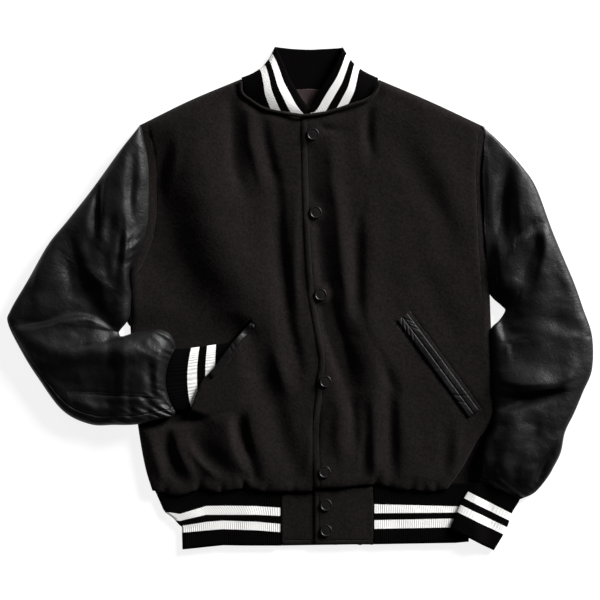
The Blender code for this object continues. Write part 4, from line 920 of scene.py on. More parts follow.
def sleeve_points(arm, places, part, columns, elbow):
    """A grid of points over the top or the under sleeve, with its folds, wrinkles and puckers."""
    last = len(arm.table) - 1
    grid, rises, turned, from_seams, rows = [], [], [], [], []
    for place in places:
        section = Section(*through(arm.table, place))
        start, end = (section.seam, 0.5) if part == "top" else (0.5, 1 + section.seam)
        turns = sleeve_turns(start, end, columns)
        points, rise = section_points(section, turns, arm.armhole, arm.rest)
        grid.append(points)
        rises.append(rise)
        turned.append(turns)
        from_seams.append(np.minimum(turns - start, end - turns))
        rows.append(np.full(columns, place))
    points, rise, turn = np.concatenate(grid), np.concatenate(rises), np.concatenate(turned)
    from_seam, place = np.concatenate(from_seams), np.concatenate(rows)
    plan = points[:, :2]
    relief = folded(plan, arm.folds) + lipped(plan, arm.lips)
    relief += rumpled(plan, *ARM_SOFT, arm.seed) + rumpled(plan, *ARM_FINE, arm.seed + 4)
    at_armhole = smoothstep(place / ARMHOLE_FLAT)
    to_end = np.linalg.norm([arm.table[-1].outer_x - arm.table[-2].outer_x,
                             arm.table[-1].outer_y - arm.table[-2].outer_y])
    from_cuff = (last - place) * to_end
    phase = 2 * math.pi * (plan[:, 1] + 0.6 * plan[:, 0]) / PUCKER_STEP
    wave = np.sin(phase + 1.7 * np.sin(plan[:, 1] * 150))
    wave = wave * (0.35 + 0.65 * smoothstep(0.5 + rumpled(plan, *PUCKER_PATCHES)))
    puckers = PUCKER_DEPTH * wave * np.exp(-((from_cuff / PUCKER_RUN) ** 2))
    puckers = puckers * smoothstep(from_cuff / PUCKER_END)
    above = np.clip(rise, 0, 1) * at_armhole * smoothstep(from_cuff / CUFF_FLAT)
    below = np.maximum(-relief, 0) * np.clip(-rise, 0, 1) * 0.4
    points[:, 2] += np.where(rise > 0, relief * above + puckers * np.clip(rise * 3, 0, 1),
                             below * at_armhole)
    tuck = np.exp(-((from_seam / SEAM_TUCK_TURN) ** 2)) * SEAM_TUCK
    if part == "top":
        drawn = 1 - smoothstep((turn - ELBOW_TUCK_TURNS[0]) / (ELBOW_TUCK_TURNS[1] - ELBOW_TUCK_TURNS[0]))
        tuck = np.maximum(tuck, ELBOW_TUCK * drawn * np.exp(-(((place - elbow) / ELBOW_TUCK_RUN) ** 2)))
    points[:, 2] -= np.where(rise > 0.02, tuck, 0.0)
    return points.reshape(len(places), columns, 3)


def cloth_grid(name, grid, wrap=False):
    """A mesh through a grid of points, rows by columns. With wrap, the last column joins the first."""
    rows, columns = grid.shape[:2]
    across = columns if wrap else columns - 1
    faces = []
    for row in range(rows - 1):
        this, after = row * columns, (row + 1) * columns
        for column in range(across):
            right = (column + 1) % columns
            faces.append((this + column, this + right, after + right, after + column))
    mesh = bpy.data.meshes.new(name)
    mesh.from_pydata([tuple(point) for point in grid.reshape(-1, 3)], [], faces)
    mesh.update()
    return mesh


def cowhide():
    """Drum-dyed cowhide: pebbled grain of 1.1 mm, soft creases 5 to 10 mm apart, and a low waxed gloss.

    The grain is finer than the render can show from the camera, so it is drawn at 1.6 mm.
    """
    made, tree, out = new_material("cowhide")
    place = node(tree, "ShaderNodeTexCoord")
    pebbles = node(tree, "ShaderNodeTexVoronoi", {"Vector": place.outputs["Object"], "Scale": 620.0},
                   feature="SMOOTH_F1")
    creases = node(tree, "ShaderNodeTexNoise",
                   {"Vector": place.outputs["Object"], "Scale": 95.0, "Detail": 5.0, "Roughness": 0.62,
                    "Distortion": 1.2})
    wear = node(tree, "ShaderNodeTexNoise",
                {"Vector": place.outputs["Object"], "Scale": 24.0, "Detail": 3.0})
    tone = node(tree, "ShaderNodeMix",
                {0: wear.outputs["Fac"], 6: linear("#060506"), 7: linear("#0e0c0d")}, data_type="RGBA")
    gloss = node(tree, "ShaderNodeMapRange", {"Value": wear.outputs["Fac"], "From Min": 0.3, "From Max": 0.7,
                                              "To Min": 0.44, "To Max": 0.56})
    grain = node(tree, "ShaderNodeBump",
                 {"Height": pebbles.outputs["Distance"], "Strength": 0.30, "Distance": 0.0005})
    soft = node(tree, "ShaderNodeBump",
                {"Height": creases.outputs["Fac"], "Strength": 0.32, "Distance": 0.0022,
                                         "Normal": grain.outputs["Normal"]})
    shader = node(tree, "ShaderNodeBsdfPrincipled", {
        "Base Color": tone.outputs[2], "Roughness": gloss.outputs["Result"], "Specular IOR Level": 0.25,
        "Normal": soft.outputs["Normal"],
    })
    tree.links.new(shader.outputs[0], out.inputs[0])
    return made


COWHIDE = cowhide()
for side, elbow, turn in (("right", RIGHT_ELBOW, -1), ("left", LEFT_ELBOW, 1)):
    arm = ARMS[side]
    last = len(arm.table) - 1
    runs = [
        (f"leather_sleeve_{side}_upper", "top", 0, elbow, f"sleeve_{side}_upper", TOP_COLUMNS),
        (f"leather_sleeve_{side}_lower", "top", elbow, last, f"sleeve_{side}_lower", TOP_COLUMNS),
        (f"leather_under_sleeve_{side}", "under", 0, last, f"under_sleeve_{side}", UNDER_COLUMNS),
    ]
    for name, part, start, end, solid, columns in runs:
        places = np.linspace(start, end, round((end - start) * STATIONS_A_STEP) + 1)
        if part == "top":
            near = elbow + np.array([-1, 1])[:, None] * ELBOW_ROWS
            places = np.union1d(places, near[(near > start) & (near < end)])
        grid = sleeve_points(arm, places, part, columns, elbow)
        piece = thicken(add_piece(name, cloth_grid(name, grid[::turn])), LEATHER)
        dress(piece, COWHIDE, "sleeve_leather", solid)

# -----------------------------------------------------------------------------------------------------------
# Rib knit: cuffs, collar and waistband are 2x1 rib in black worsted with two stripes of white knitted in,
# one doubled band each, sewn to the body stretched so that it gathers it. The ribs run across each band.
# -----------------------------------------------------------------------------------------------------------
RIB = 0.0030
RIB_PITCH = 0.0032
RIB_DEPTH = 0.00026
RIB_COLUMNS = 5
CUFF_WALL = 0.0018
ROW_STEP = 0.0035
# Depth of each stretch of a band from its seam, black and white in turn, in metres.
RIGHT_CUFF_ROWS = [0.0262, 0.0130, 0.0105, 0.0130, 0.0185]
LEFT_CUFF_ROWS = [0.0260, 0.0120, 0.0100, 0.0120, 0.0260]
COLLAR_ROWS = [0.0095, 0.0100, 0.0095, 0.0100, 0.0300]
WAISTBAND_ROWS = [0.034, 0.0122, 0.0105, 0.0125, 0.0190]
CUFF_SOFT = (0.020, 0.0009, 5.5)
WAISTBAND_SOFT = (0.030, 0.0012, 1.9)
WAISTBAND_LOWEST = -0.0002
RIGHT_CUFF = [
    Section(-0.1840, -0.158, -0.1840, -0.074, 0.0066, 0.0, 0.0, -0.0140),
    Section(-0.1786, -0.161, -0.1786, -0.071, 0.0080, 0.0, 0.0, -0.0140),
    Section(-0.160, -0.157, -0.160, -0.070, 0.0078, 0.0, 0.0, -0.006),
    Section(-0.138, -0.152, -0.138, -0.067, 0.0076, 0.0, 0.0, -0.003),
    Section(-0.102, -0.145, -0.102, -0.062, 0.0076, 0.0, 0.0, 0.0),
]
LEFT_CUFF = [
    Section(0.3172, -0.2850, 0.2640, -0.2605, 0.0066, 0.0, 0.0, 0.0),
    Section(0.3182, -0.2902, 0.2590, -0.2632, 0.0085, 0.0, 0.0, 0.0),
    Section(0.307, -0.309, 0.244, -0.277, 0.0080, 0.0, 0.0, 0.0),
    Section(0.299, -0.332, 0.231, -0.299, 0.0080, 0.0, 0.0, 0.0),
    Section(0.281, -0.363, 0.217, -0.331, 0.0080, 0.0, 0.0, 0.0),
]
# Collar: a row for each station of the band, from its right end round the back of the neck to its left end.
# roll swells the leaf upwards, bow bends it towards the neck, and spread is how much its knit is stretched.
CollarRow = namedtuple("CollarRow", "base_x base_y base_z top_x top_y top_z roll bow_x bow_y spread")
COLLAR = [
    CollarRow(0.009, 0.2685, 0.0090, 0.013, 0.279, 0.0094, 0.001, 0.000, 0.000, 1.30),
    CollarRow(-0.022, 0.2730, 0.0090, 0.003, 0.291, 0.0110, 0.002, 0.000, 0.000, 1.22),
    CollarRow(-0.046, 0.2780, 0.0090, -0.006, 0.306, 0.0124, 0.003, 0.001, -0.001, 1.18),
    CollarRow(-0.067, 0.2900, 0.0090, -0.016, 0.323, 0.0130, 0.004, 0.002, -0.002, 1.10),
    CollarRow(-0.080, 0.3020, 0.0086, -0.025, 0.345, 0.0122, 0.004, 0.004, -0.004, 1.04),
    CollarRow(-0.0835, 0.3160, 0.0078, -0.033, 0.362, 0.0098, 0.002, 0.006, -0.006, 1.00),
    CollarRow(-0.0840, 0.3205, 0.0048, -0.035, 0.366, 0.0060, 0.000, 0.006, -0.006, 1.00),
    CollarRow(-0.0800, 0.3190, 0.0020, -0.029, 0.366, 0.0024, 0.000, 0.006, -0.006, 1.00),
    CollarRow(-0.036, 0.3050, 0.0016, -0.010, 0.364, 0.0018, 0.000, 0.001, 0.000, 1.00),
    CollarRow(0.012, 0.3020, 0.0016, 0.014, 0.363, 0.0018, 0.000, 0.000, 0.000, 1.00),
    CollarRow(0.065, 0.3050, 0.0016, 0.036, 0.364, 0.0018, 0.000, -0.001, 0.000, 1.00),
    CollarRow(0.1085, 0.3180, 0.0020, 0.055, 0.365, 0.0024, 0.000, -0.005, -0.005, 1.00),
    CollarRow(0.1125, 0.3200, 0.0048, 0.061, 0.365, 0.0060, 0.000, -0.005, -0.005, 1.00),
    CollarRow(0.1120, 0.3160, 0.0078, 0.060, 0.361, 0.0098, 0.002, -0.005, -0.005, 1.00),
    CollarRow(0.1070, 0.3030, 0.0086, 0.054, 0.345, 0.0122, 0.004, -0.004, -0.003, 1.04),
    CollarRow(0.0940, 0.2930, 0.0090, 0.045, 0.328, 0.0130, 0.004, -0.002, -0.002, 1.10),
    CollarRow(0.067, 0.2830, 0.0090, 0.034, 0.312, 0.0124, 0.003, -0.001, -0.001, 1.18),
    CollarRow(0.042, 0.2745, 0.0090, 0.025, 0.298, 0.0110, 0.002, 0.000, 0.000, 1.28),
    CollarRow(0.014, 0.2700, 0.0090, 0.017, 0.283, 0.0094, 0.001, 0.000, 0.000, 1.60),
]
COLLAR_SQUEEZE = 0.00006
# Waistband: where each course of the knit lies, from the hem seam to the fold, at a few places across.
BandColumn = namedtuple("BandColumn", "x seam stripe_1 black_1 stripe_2 black_2 fold")
BAND = [
    BandColumn(-0.213, -0.2650, -0.3040, -0.3150, -0.3270, -0.3390, -0.3640),
    BandColumn(-0.174, -0.2650, -0.3100, -0.3200, -0.3275, -0.3375, -0.3620),
    BandColumn(-0.136, -0.2650, -0.2985, -0.3112, -0.3215, -0.3338, -0.3580),
    BandColumn(-0.112, -0.2650, -0.2980, -0.3112, -0.3196, -0.3320, -0.3555),
    BandColumn(-0.064, -0.2650, -0.2987, -0.3112, -0.3212, -0.3335, -0.3560),
    BandColumn(-0.028, -0.2650, -0.3010, -0.3128, -0.3244, -0.3364, -0.3560),
    BandColumn(0.107, -0.2650, -0.2958, -0.3089, -0.3190, -0.3316, -0.3540),
    BandColumn(0.225, -0.2650, -0.2990, -0.3080, -0.3165, -0.3292, -0.3520),
    BandColumn(0.246, -0.2650, -0.2990, -0.3080, -0.3165, -0.3292, -0.3500),
]
# The waistband's side folds: where they lie, from the hem seam down to the fold.
BandFold = namedtuple("BandFold", "down right_x left_x")
BAND_FOLDS = [
    BandFold(0.00, -0.214, 0.257),
    BandFold(0.37, -0.196, 0.248),
    BandFold(0.48, -0.182, 0.246),
    BandFold(0.66, -0.170, 0.245),
    BandFold(1.00, -0.169, 0.243),
]
# The waistband's length from one tab round the back to the other, stretch by stretch.
BAND_STRETCHES = [
    ("front_right", 0.150), ("right_fold", 0.010), ("back", 0.420), ("left_fold", 0.010),
    ("front_left", 0.140),
]
BAND_FRONT = 0.0060
BAND_BACK = 0.0016
BAND_SEAM = 0.0005
RIGHT_TAB = (-0.028, 0.054)
LEFT_TAB = (0.0205, 0.107)


def worsted(name, dark, light, shine):
    """Worsted yarn knitted in rib: a firm matt thread in loops of 1.6 mm, in pairs down the rib."""
    made, tree, out = new_material(name)
    place = node(tree, "ShaderNodeTexCoord")
    loops = node(tree, "ShaderNodeTexVoronoi", {"Vector": place.outputs["Object"], "Scale": 640.0})
    fuzz = node(tree, "ShaderNodeTexNoise",
                {"Vector": place.outputs["Object"], "Scale": 900.0, "Detail": 3.0})
    tone = node(tree, "ShaderNodeMix",
                {0: fuzz.outputs["Fac"], 6: linear(dark), 7: linear(light)}, data_type="RGBA")
    knit = node(tree, "ShaderNodeBump",
                {"Height": loops.outputs["Distance"], "Strength": 0.4, "Distance": 0.0006})
    shader = node(tree, "ShaderNodeBsdfPrincipled", {
        "Base Color": tone.outputs[2], "Roughness": 0.92, "Specular IOR Level": 0.04,
        "Sheen Weight": shine, "Sheen Roughness": 0.5, "Normal": knit.outputs["Normal"],
    })
    tree.links.new(shader.outputs[0], out.inputs[0])
    return made


def band_rows(depths):
    """The rows of a band's mesh: the depth of each, and which yarn lies between it and the next."""
    rows, yarn, start = [0.0], [], 0.0
    for stretch, depth in enumerate(depths):
        count = max(2, round(depth / ROW_STEP))
        rows += [start + depth * (row + 1) / count for row in range(count)]
        yarn += [stretch % 2] * count
        start += depth
    return np.array(rows), yarn


def ribbed(name, middle, wave, wall, lift, turned, wrap=False):
    """A doubled band with its thickness: ribs on the right side, and the wrong side pressed plain.

    The two faces are made apart, because ribs this fine would cross one another if the whole wall
    followed them. The right side lies lift above the middle. It gives the mesh, and how many of its
    faces are on the right side.
    """
    across = np.roll(middle, -1, 1) - np.roll(middle, 1, 1) if wrap else np.gradient(middle, axis=1)
    down = np.gradient(middle, axis=0)
    out = np.cross(down, across) if turned else np.cross(across, down)
    out /= np.maximum(np.linalg.norm(out, axis=2, keepdims=True), 1e-12)
    rows, columns = middle.shape[:2]
    right_side = (middle + out * (lift + wave)[..., None]).reshape(-1, 3)
    wrong_side = (middle + out * (lift - wall)).reshape(-1, 3)
    behind = len(right_side)
    faces = []
    for row in range(rows - 1):
        this, after = row * columns, (row + 1) * columns
        for column in range(columns if wrap else columns - 1):
            beside = (column + 1) % columns
            face = (this + column, this + beside, after + beside, after + column)
            faces.append(face[::-1] if turned else face)
    knitted = len(faces)
    edges = {(face[corner - 1], face[corner]) for face in faces for corner in range(4)}
    rims = [(end, start, start + behind, end + behind)
            for start, end in sorted(edges) if (end, start) not in edges]
    faces += [tuple(corner + behind for corner in face[::-1]) for face in faces] + rims
    mesh = bpy.data.meshes.new(name)
    mesh.from_pydata([tuple(point) for point in np.concatenate([right_side, wrong_side])], [], faces)
    mesh.update()
    return mesh, knitted


def paint_stripes(obj, yarn, columns, across_first, knitted):
    """Gives each course of the knit its yarn: 0 is black, 1 is white, and 2 is black on the wrong side."""
    for material in (BLACK_YARN, WHITE_YARN, BLACK_YARN):
        obj.data.materials.append(material)
    for face in obj.data.polygons:
        course = face.index // columns if across_first else face.index % columns
        face.material_index = yarn[course] if face.index < knitted else 2
    return obj


def rib_piece(name, made, node_name, yarn, columns, across_first):
    """A band of rib. The stripes are on its right side only, and its wrong side is all black."""
    mesh, knitted = made
    obj = add_piece(name, mesh)
    paint_stripes(obj, yarn, columns, across_first, knitted)
    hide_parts(node_name)
    return obj


BLACK_YARN = worsted("black_worsted", "#010101", "#050303", 0.0)
WHITE_YARN = worsted("white_worsted", "#e9e8e6", "#f6f5f3", 0.10)


def cuff(side, table, depths, rest):
    rows, yarn = band_rows(depths)
    middles = np.array([((row.outer_x + row.inner_x) / 2, (row.outer_y + row.inner_y) / 2) for row in table])
    run = np.concatenate([[0], np.cumsum(np.linalg.norm(np.diff(middles, axis=0), axis=1))])
    girth = 2 * math.dist(table[1][:2], table[1][2:4])
    ribs = round(girth / RIB_PITCH)
    count = ribs * RIB_COLUMNS
    turns = np.arange(count) / count
    grid, waves = [], []
    for depth in rows:
        place = np.interp(depth / rows[-1] * run[-1], run, range(len(table)))
        section = Section(*through(table, place))
        points, rise = section_points(section, turns, None, rest)
        waves.append(np.where(rise > 0, RIB_DEPTH * np.cos(2 * math.pi * turns * ribs), 0.0))
        soft = rumpled(points[:, :2], *CUFF_SOFT) * np.clip(rise, 0, 1)
        points[:, 2] += soft
        grid.append(points)
    turn = -1 if side == "right" else 1
    made = ribbed(f"rib_cuff_{side}", np.array(grid)[::turn], np.array(waves)[::turn], CUFF_WALL, 0.0, False,
                  wrap=True)
    return rib_piece(f"rib_cuff_{side}", made, f"cuff_{side}", yarn[::turn], count, True)


def collar():
    """One band: its ends meet at the front, and it rolls over at the sides of the neck.

    The knit is measured from its folded top edge, so that the stripes run off into the neckline at the
    front.
    """
    rows, yarn = band_rows(COLLAR_ROWS)
    left_over = np.arange(len(rows))[::-1] * COLLAR_SQUEEZE
    # The run of a station counts both its edges, so its step is root two of the knit's own.
    stations = line([tuple(row) for row in COLLAR], math.sqrt(2) * RIB_PITCH / RIB_COLUMNS, measured=6)
    grid, waves = [], []
    for number, row in enumerate(stations):
        row = CollarRow(*row)
        base = np.array([row.base_x, row.base_y, row.base_z])
        top = np.array([row.top_x, row.top_y, row.top_z])
        width = np.linalg.norm(top - base)
        shares = 1 - np.minimum(rows * row.spread, width - left_over) / width
        points = base + (top - base) * shares[:, None]
        points[:, :2] += np.sin(math.pi * shares)[:, None] * (row.bow_x, row.bow_y)
        points[:, 2] += row.roll * np.sin(math.pi * shares)
        grid.append(points)
        waves.append(np.full(len(rows), RIB_DEPTH * math.cos(2 * math.pi * number / RIB_COLUMNS)))
    made = ribbed("rib_collar", np.array(grid), np.array(waves), RIB, RIB / 2, True)
    return rib_piece("rib_collar", made, "collar", yarn, len(rows) - 1, False)


def waistband():
    """One length of rib: it starts at the right tab, folds at each side and ends at the left tab."""
    middle, radius = (BAND_FRONT + BAND_BACK) / 2, (BAND_FRONT - BAND_BACK) / 2
    levels = np.array([tuple(column)[1:] for column in BAND])
    xs = np.array([column.x for column in BAND])
    rows, yarn = band_rows(WAISTBAND_ROWS)
    marks = np.concatenate([[0], np.cumsum(WAISTBAND_ROWS)])
    shares = rows / rows[-1]
    downs = [fold.down for fold in BAND_FOLDS]
    right = np.interp(shares, downs, [fold.right_x for fold in BAND_FOLDS]) + radius
    left = np.interp(shares, downs, [fold.left_x for fold in BAND_FOLDS]) - radius
    right_end, left_end = RIGHT_TAB[0] - BAND_SEAM, LEFT_TAB[1] + BAND_SEAM
    step = RIB_PITCH / RIB_COLUMNS
    grid, waves, number = [], [], 0
    for stretch, length in BAND_STRETCHES:
        count = round(length / step)
        for share in (np.arange(count) + 0.5) / count:
            turn = math.pi * share
            up = np.zeros(len(rows))
            if stretch == "front_right":
                x, z, up = right_end + (right - right_end) * share, BAND_FRONT, up + 1
            elif stretch == "right_fold":
                x, z = right - radius * math.sin(turn), middle + radius * math.cos(turn)
            elif stretch == "back":
                x, z, up = right + (left - right) * share, BAND_BACK, up - 0.3
            elif stretch == "left_fold":
                x, z = left + radius * math.sin(turn), middle - radius * math.cos(turn)
            else:
                x, z, up = left + (left_end - left) * share, BAND_FRONT, up + 1
            lines = np.stack([np.interp(x, xs, levels[:, mark]) for mark in range(levels.shape[1])], axis=1)
            y = np.array([np.interp(depth, marks, line_row) for depth, line_row in zip(rows, lines)])
            plan = np.column_stack([x, y])
            soft = rumpled(plan, *WAISTBAND_SOFT)
            grid.append(np.column_stack([plan, z + up * np.maximum(soft, WAISTBAND_LOWEST)]))
            waves.append(np.abs(up) * RIB_DEPTH * math.cos(2 * math.pi * number / RIB_COLUMNS))
            number += 1
    made = ribbed("rib_waistband", np.array(grid), np.array(waves), RIB, RIB / 2, True)
    return rib_piece("rib_waistband", made, "waistband_rib", yarn, len(rows) - 1, False)


right_cuff = cuff("right", RIGHT_CUFF, RIGHT_CUFF_ROWS, RIGHT_REST)
left_cuff = cuff("left", LEFT_CUFF, LEFT_CUFF_ROWS, LEFT_REST)
rib_collar = collar()
rib_waistband = waistband()

# -----------------------------------------------------------------------------------------------------------
# Inside the neck: the satin of the back lining shows between the collar's leaves. A narrow roll of the
# melton is sewn into the seam all round the fronts' neckline.
# -----------------------------------------------------------------------------------------------------------
SATIN = 0.0010
SATIN_LIFT = 0.0003
LINING = [(-0.040, 0.303), (0.012, 0.306), (0.064, 0.303), (0.052, 0.274), (0.012, 0.258), (-0.028, 0.274)]
LINING_FOLDS = [
    Fold([(-0.010, 0.298), (0.000, 0.284), (0.004, 0.270)], 0.004, 0.004, 0.0012),
    Fold([(0.022, 0.298), (0.018, 0.286), (0.014, 0.272)], 0.003, 0.004, 0.0010),
    Fold([(0.010, 0.299), (0.010, 0.288), (0.009, 0.276)], 0.002, 0.003, -0.0005),
]
ROLL_RADIUS = 0.0024
ROLL_LIFT = 0.0027
ROLL_ROUND = 14
ROLL_STEP = 0.0030
ROLL_CLIMB = 0.026
ROLL_END = 0.4
ROLL_SOFT = (0.012, 0.0005, 4.4)
LINING_STEP = 0.0025


def lining_height(points):
    return back_height(points) + SATIN_LIFT + SATIN + np.maximum(folded(points, LINING_FOLDS), 0)


def satin():
    """Acetate lining satin, brown with a violet cast: floats of 0.3 mm give a sheen along the warp."""
    made, tree, out = new_material("lining_satin")
    place = node(tree, "ShaderNodeTexCoord")
    floats = node(tree, "ShaderNodeTexWave",
                  {"Vector": place.outputs["Object"], "Scale": 520.0, "Distortion": 0.6})
    cloudy = node(tree, "ShaderNodeTexNoise", {"Vector": place.outputs["Object"], "Scale": 60.0})
    tone = node(tree, "ShaderNodeMix",
                {0: cloudy.outputs["Fac"], 6: linear("#2b2021"), 7: linear("#382c2d")}, data_type="RGBA")
    weave = node(tree, "ShaderNodeBump",
                 {"Height": floats.outputs["Fac"], "Strength": 0.12, "Distance": 0.0002})
    shader = node(tree, "ShaderNodeBsdfPrincipled", {
        "Base Color": tone.outputs[2], "Roughness": 0.38, "Specular IOR Level": 0.5,
        "Anisotropic": 0.5, "Normal": weave.outputs["Normal"],
    })
    tree.links.new(shader.outputs[0], out.inputs[0])
    return made


def close_ends(mesh):
    """Fills the open ends of a wrapped mesh and turns all its faces outwards."""
    ends = bmesh.new()
    ends.from_mesh(mesh)
    bmesh.ops.holes_fill(ends, edges=[edge for edge in ends.edges if edge.is_boundary])
    bmesh.ops.recalc_face_normals(ends, faces=ends.faces)
    ends.to_mesh(mesh)
    ends.free()
    return mesh


def tube(name, path, radius, around):
    """A round roll along a path of points in space, with closed ends."""
    path = np.asarray(path)
    along = np.gradient(path, axis=0)
    along = along / np.linalg.norm(along, axis=1)[:, None]
    side = np.cross(along, (0, 0, 1))
    side = side / np.linalg.norm(side, axis=1)[:, None]
    up = np.cross(side, along)
    turns = 2 * math.pi * np.arange(around) / around
    rings = [
        point + radius * (np.outer(np.cos(turns), across) + np.outer(np.sin(turns), over))
        for point, across, over in zip(path, side, up)
    ]
    first, last = rings[0].mean(axis=0), rings[-1].mean(axis=0)
    rings = [first + (rings[0] - first) * ROLL_END] + rings + [last + (rings[-1] - last) * ROLL_END]
    return close_ends(cloth_grid(name, np.array(rings), wrap=True))


lining = panel("satin_lining", joined([[start, end] for start, end in zip(LINING, LINING[1:] + LINING[:1])]),
               lining_height, SATIN, step=LINING_STEP)
dress(lining, satin(), "lining_satin", "back_neck_lining")

neckline = line([(-0.0858, 0.3165)] + RIGHT_NECK[1:] + LEFT_NECK[1:-1] + [(0.1148, 0.3155)], ROLL_STEP)
lapped = smoothstep(1.0 + (neckline[:, 0] - FRONT_EDGE[0][0]) / ROLL_CLIMB)
roll_height = SEAM_HEIGHT + LAP * lapped + ROLL_LIFT + rumpled(neckline, *ROLL_SOFT)
roll = add_piece("melton_neck_roll", tube("melton_neck_roll", np.column_stack([neckline, roll_height]),
                                          ROLL_RADIUS, ROLL_ROUND))
dress(roll, MELTON, "wool_melton", "neck_piping")

# -----------------------------------------------------------------------------------------------------------
# The waistband's ends: two pieces of doubled melton that carry the last two snaps. The left one laps over
# the right, and both are topstitched 6 mm inside their edges.
# -----------------------------------------------------------------------------------------------------------
TAB_BOTTOM = -0.3545
RIGHT_TAB_TOP = -0.2790
RIGHT_TAB_HEIGHT = 0.0069
LEFT_TAB_TOP = -0.2740
LEFT_TAB_HEIGHT = 0.0098
LEFT_TAB_DROP = 0.0022
LEFT_TAB_RISE = 0.0045
TAB_STITCH = 0.006
TAB_ROUND = 0.0026
TAB_EDGE_DROP = 0.0016
TAB_EDGE_FLAT = 0.008
TAB_SOFT = (0.022, 0.0007, 7.3)
TAB_SLANT = 0.0004
LEFT_TAB_SHORTER = 0.0005
TAB_STEP = 0.003


def tab_outline(tab, top_left, top_right, bottom):
    corners = [(tab[0], bottom), (tab[1], bottom - TAB_SLANT), (tab[1], top_right), (tab[0], top_left)]
    return joined([[start, end] for start, end in zip(corners, corners[1:] + corners[:1])])


def tab_rows(tab, top_left, bottom):
    """The topstitched row inside the tab's front edge and its lower edge."""
    return [line([(tab[0] + TAB_STITCH, top_left), (tab[0] + TAB_STITCH, bottom + TAB_STITCH)], CLOTH_STEP),
            line([(tab[0] + TAB_STITCH, bottom + TAB_STITCH), (tab[1], bottom + TAB_STITCH)], CLOTH_STEP)]


def tab_form(points, outline, level, rows):
    edge = to_line(points, np.vstack([outline, outline[:1]]))[0]
    rounded = TAB_EDGE_DROP * (1 - np.clip(edge / TAB_ROUND, 0, 1)) ** 2
    soft = rumpled(points, *TAB_SOFT) * smoothstep(edge / TAB_EDGE_FLAT)
    return level + soft - rounded + grooves(points, rows)


RIGHT_TAB_OUTLINE = tab_outline(RIGHT_TAB, RIGHT_TAB_TOP, RIGHT_TAB_TOP, TAB_BOTTOM)
LEFT_TAB_OUTLINE = tab_outline(LEFT_TAB, LEFT_TAB_TOP, LEFT_TAB_TOP + LEFT_TAB_RISE,
                               TAB_BOTTOM + LEFT_TAB_SHORTER)
RIGHT_TAB_ROWS = tab_rows(RIGHT_TAB, RIGHT_TAB_TOP, TAB_BOTTOM)[1:]
LEFT_TAB_ROWS = tab_rows(LEFT_TAB, LEFT_TAB_TOP, TAB_BOTTOM)


def right_tab_height(points):
    return tab_form(points, RIGHT_TAB_OUTLINE, RIGHT_TAB_HEIGHT, RIGHT_TAB_ROWS)


def left_tab_height(points):
    drop = LEFT_TAB_DROP * smoothstep((points[:, 0] - RIGHT_TAB[1]) / (LEFT_TAB[1] - RIGHT_TAB[1]))
    return tab_form(points, LEFT_TAB_OUTLINE, LEFT_TAB_HEIGHT - drop, LEFT_TAB_ROWS)


right_tab = panel("melton_tab_right", RIGHT_TAB_OUTLINE, right_tab_height, WOOL, rows=RIGHT_TAB_ROWS,
                  step=TAB_STEP)
dress(right_tab, MELTON, "wool_melton", "waist_tab_right")
left_tab = panel("melton_tab_left", LEFT_TAB_OUTLINE, left_tab_height, WOOL, rows=LEFT_TAB_ROWS,
                 step=TAB_STEP)
dress(left_tab, MELTON, "wool_melton", "waist_tab_left")

# -----------------------------------------------------------------------------------------------------------
# The slanted pockets' welts: strips of the sleeve leather folded double and sewn to the mouth. The left
# pocket lies closed with both welts showing, and the right one gapes over the cuff with one. The leather is
# creased across where the pocket's upper end has been pulled.
# -----------------------------------------------------------------------------------------------------------
WELT_WIDTH = 0.0086
WELT_THICKNESS = 0.0016
WELT_STEP = 0.0014
WELT_COLUMNS = 13
CLOSED_WELT_LIFT = 0.0008
OPEN_WELT_LIFT = 0.0011
OPEN_WELT_BACK = 0.0005
OPEN_WELT_END = (-0.138, -0.1105)
MOST_CREASED = 0.0011
# How deep a welt's ends go down, and over what length: turned in square, or tucked into the seam.
SQUARE_END = (0.0007, 0.0016)
TUCKED_END = (0.0048, 0.0050)
POCKET_SEAM = 0.0005
# A crease across a welt: how far from its upper end, how much it slants, its width and its depth.
Crease = namedtuple("Crease", "run slant width depth")
UPPER_CREASES = [
    Crease(0.010, 0.006, 0.0012, 0.0009), Crease(0.016, 0.007, 0.0010, 0.0007),
    Crease(0.024, 0.007, 0.0014, 0.0006), Crease(0.040, 0.003, 0.0016, 0.0004),
    Crease(0.061, -0.002, 0.0018, 0.0004), Crease(0.084, 0.002, 0.0016, 0.0004),
    Crease(0.104, -0.003, 0.0016, 0.0005), Crease(0.126, 0.002, 0.0018, 0.0003),
    Crease(0.145, 0.003, 0.0016, 0.0005),
]
LOWER_CREASES = [
    Crease(0.006, -0.006, 0.0013, 0.0012), Crease(0.015, -0.007, 0.0015, 0.0013),
    Crease(0.024, -0.008, 0.0014, 0.0011), Crease(0.034, -0.007, 0.0016, 0.0007),
    Crease(0.058, -0.003, 0.0018, 0.0003), Crease(0.090, 0.003, 0.0020, 0.0004),
    Crease(0.118, -0.002, 0.0018, 0.0004), Crease(0.138, 0.004, 0.0016, 0.0008),
    Crease(0.150, 0.005, 0.0014, 0.0007),
]
RIGHT_CREASES = [
    Crease(0.008, 0.004, 0.0014, 0.0008), Crease(0.022, -0.003, 0.0016, 0.0004),
    Crease(0.044, 0.002, 0.0018, 0.0005), Crease(0.052, 0.003, 0.0014, 0.0005),
    Crease(0.068, -0.002, 0.0016, 0.0003),
]


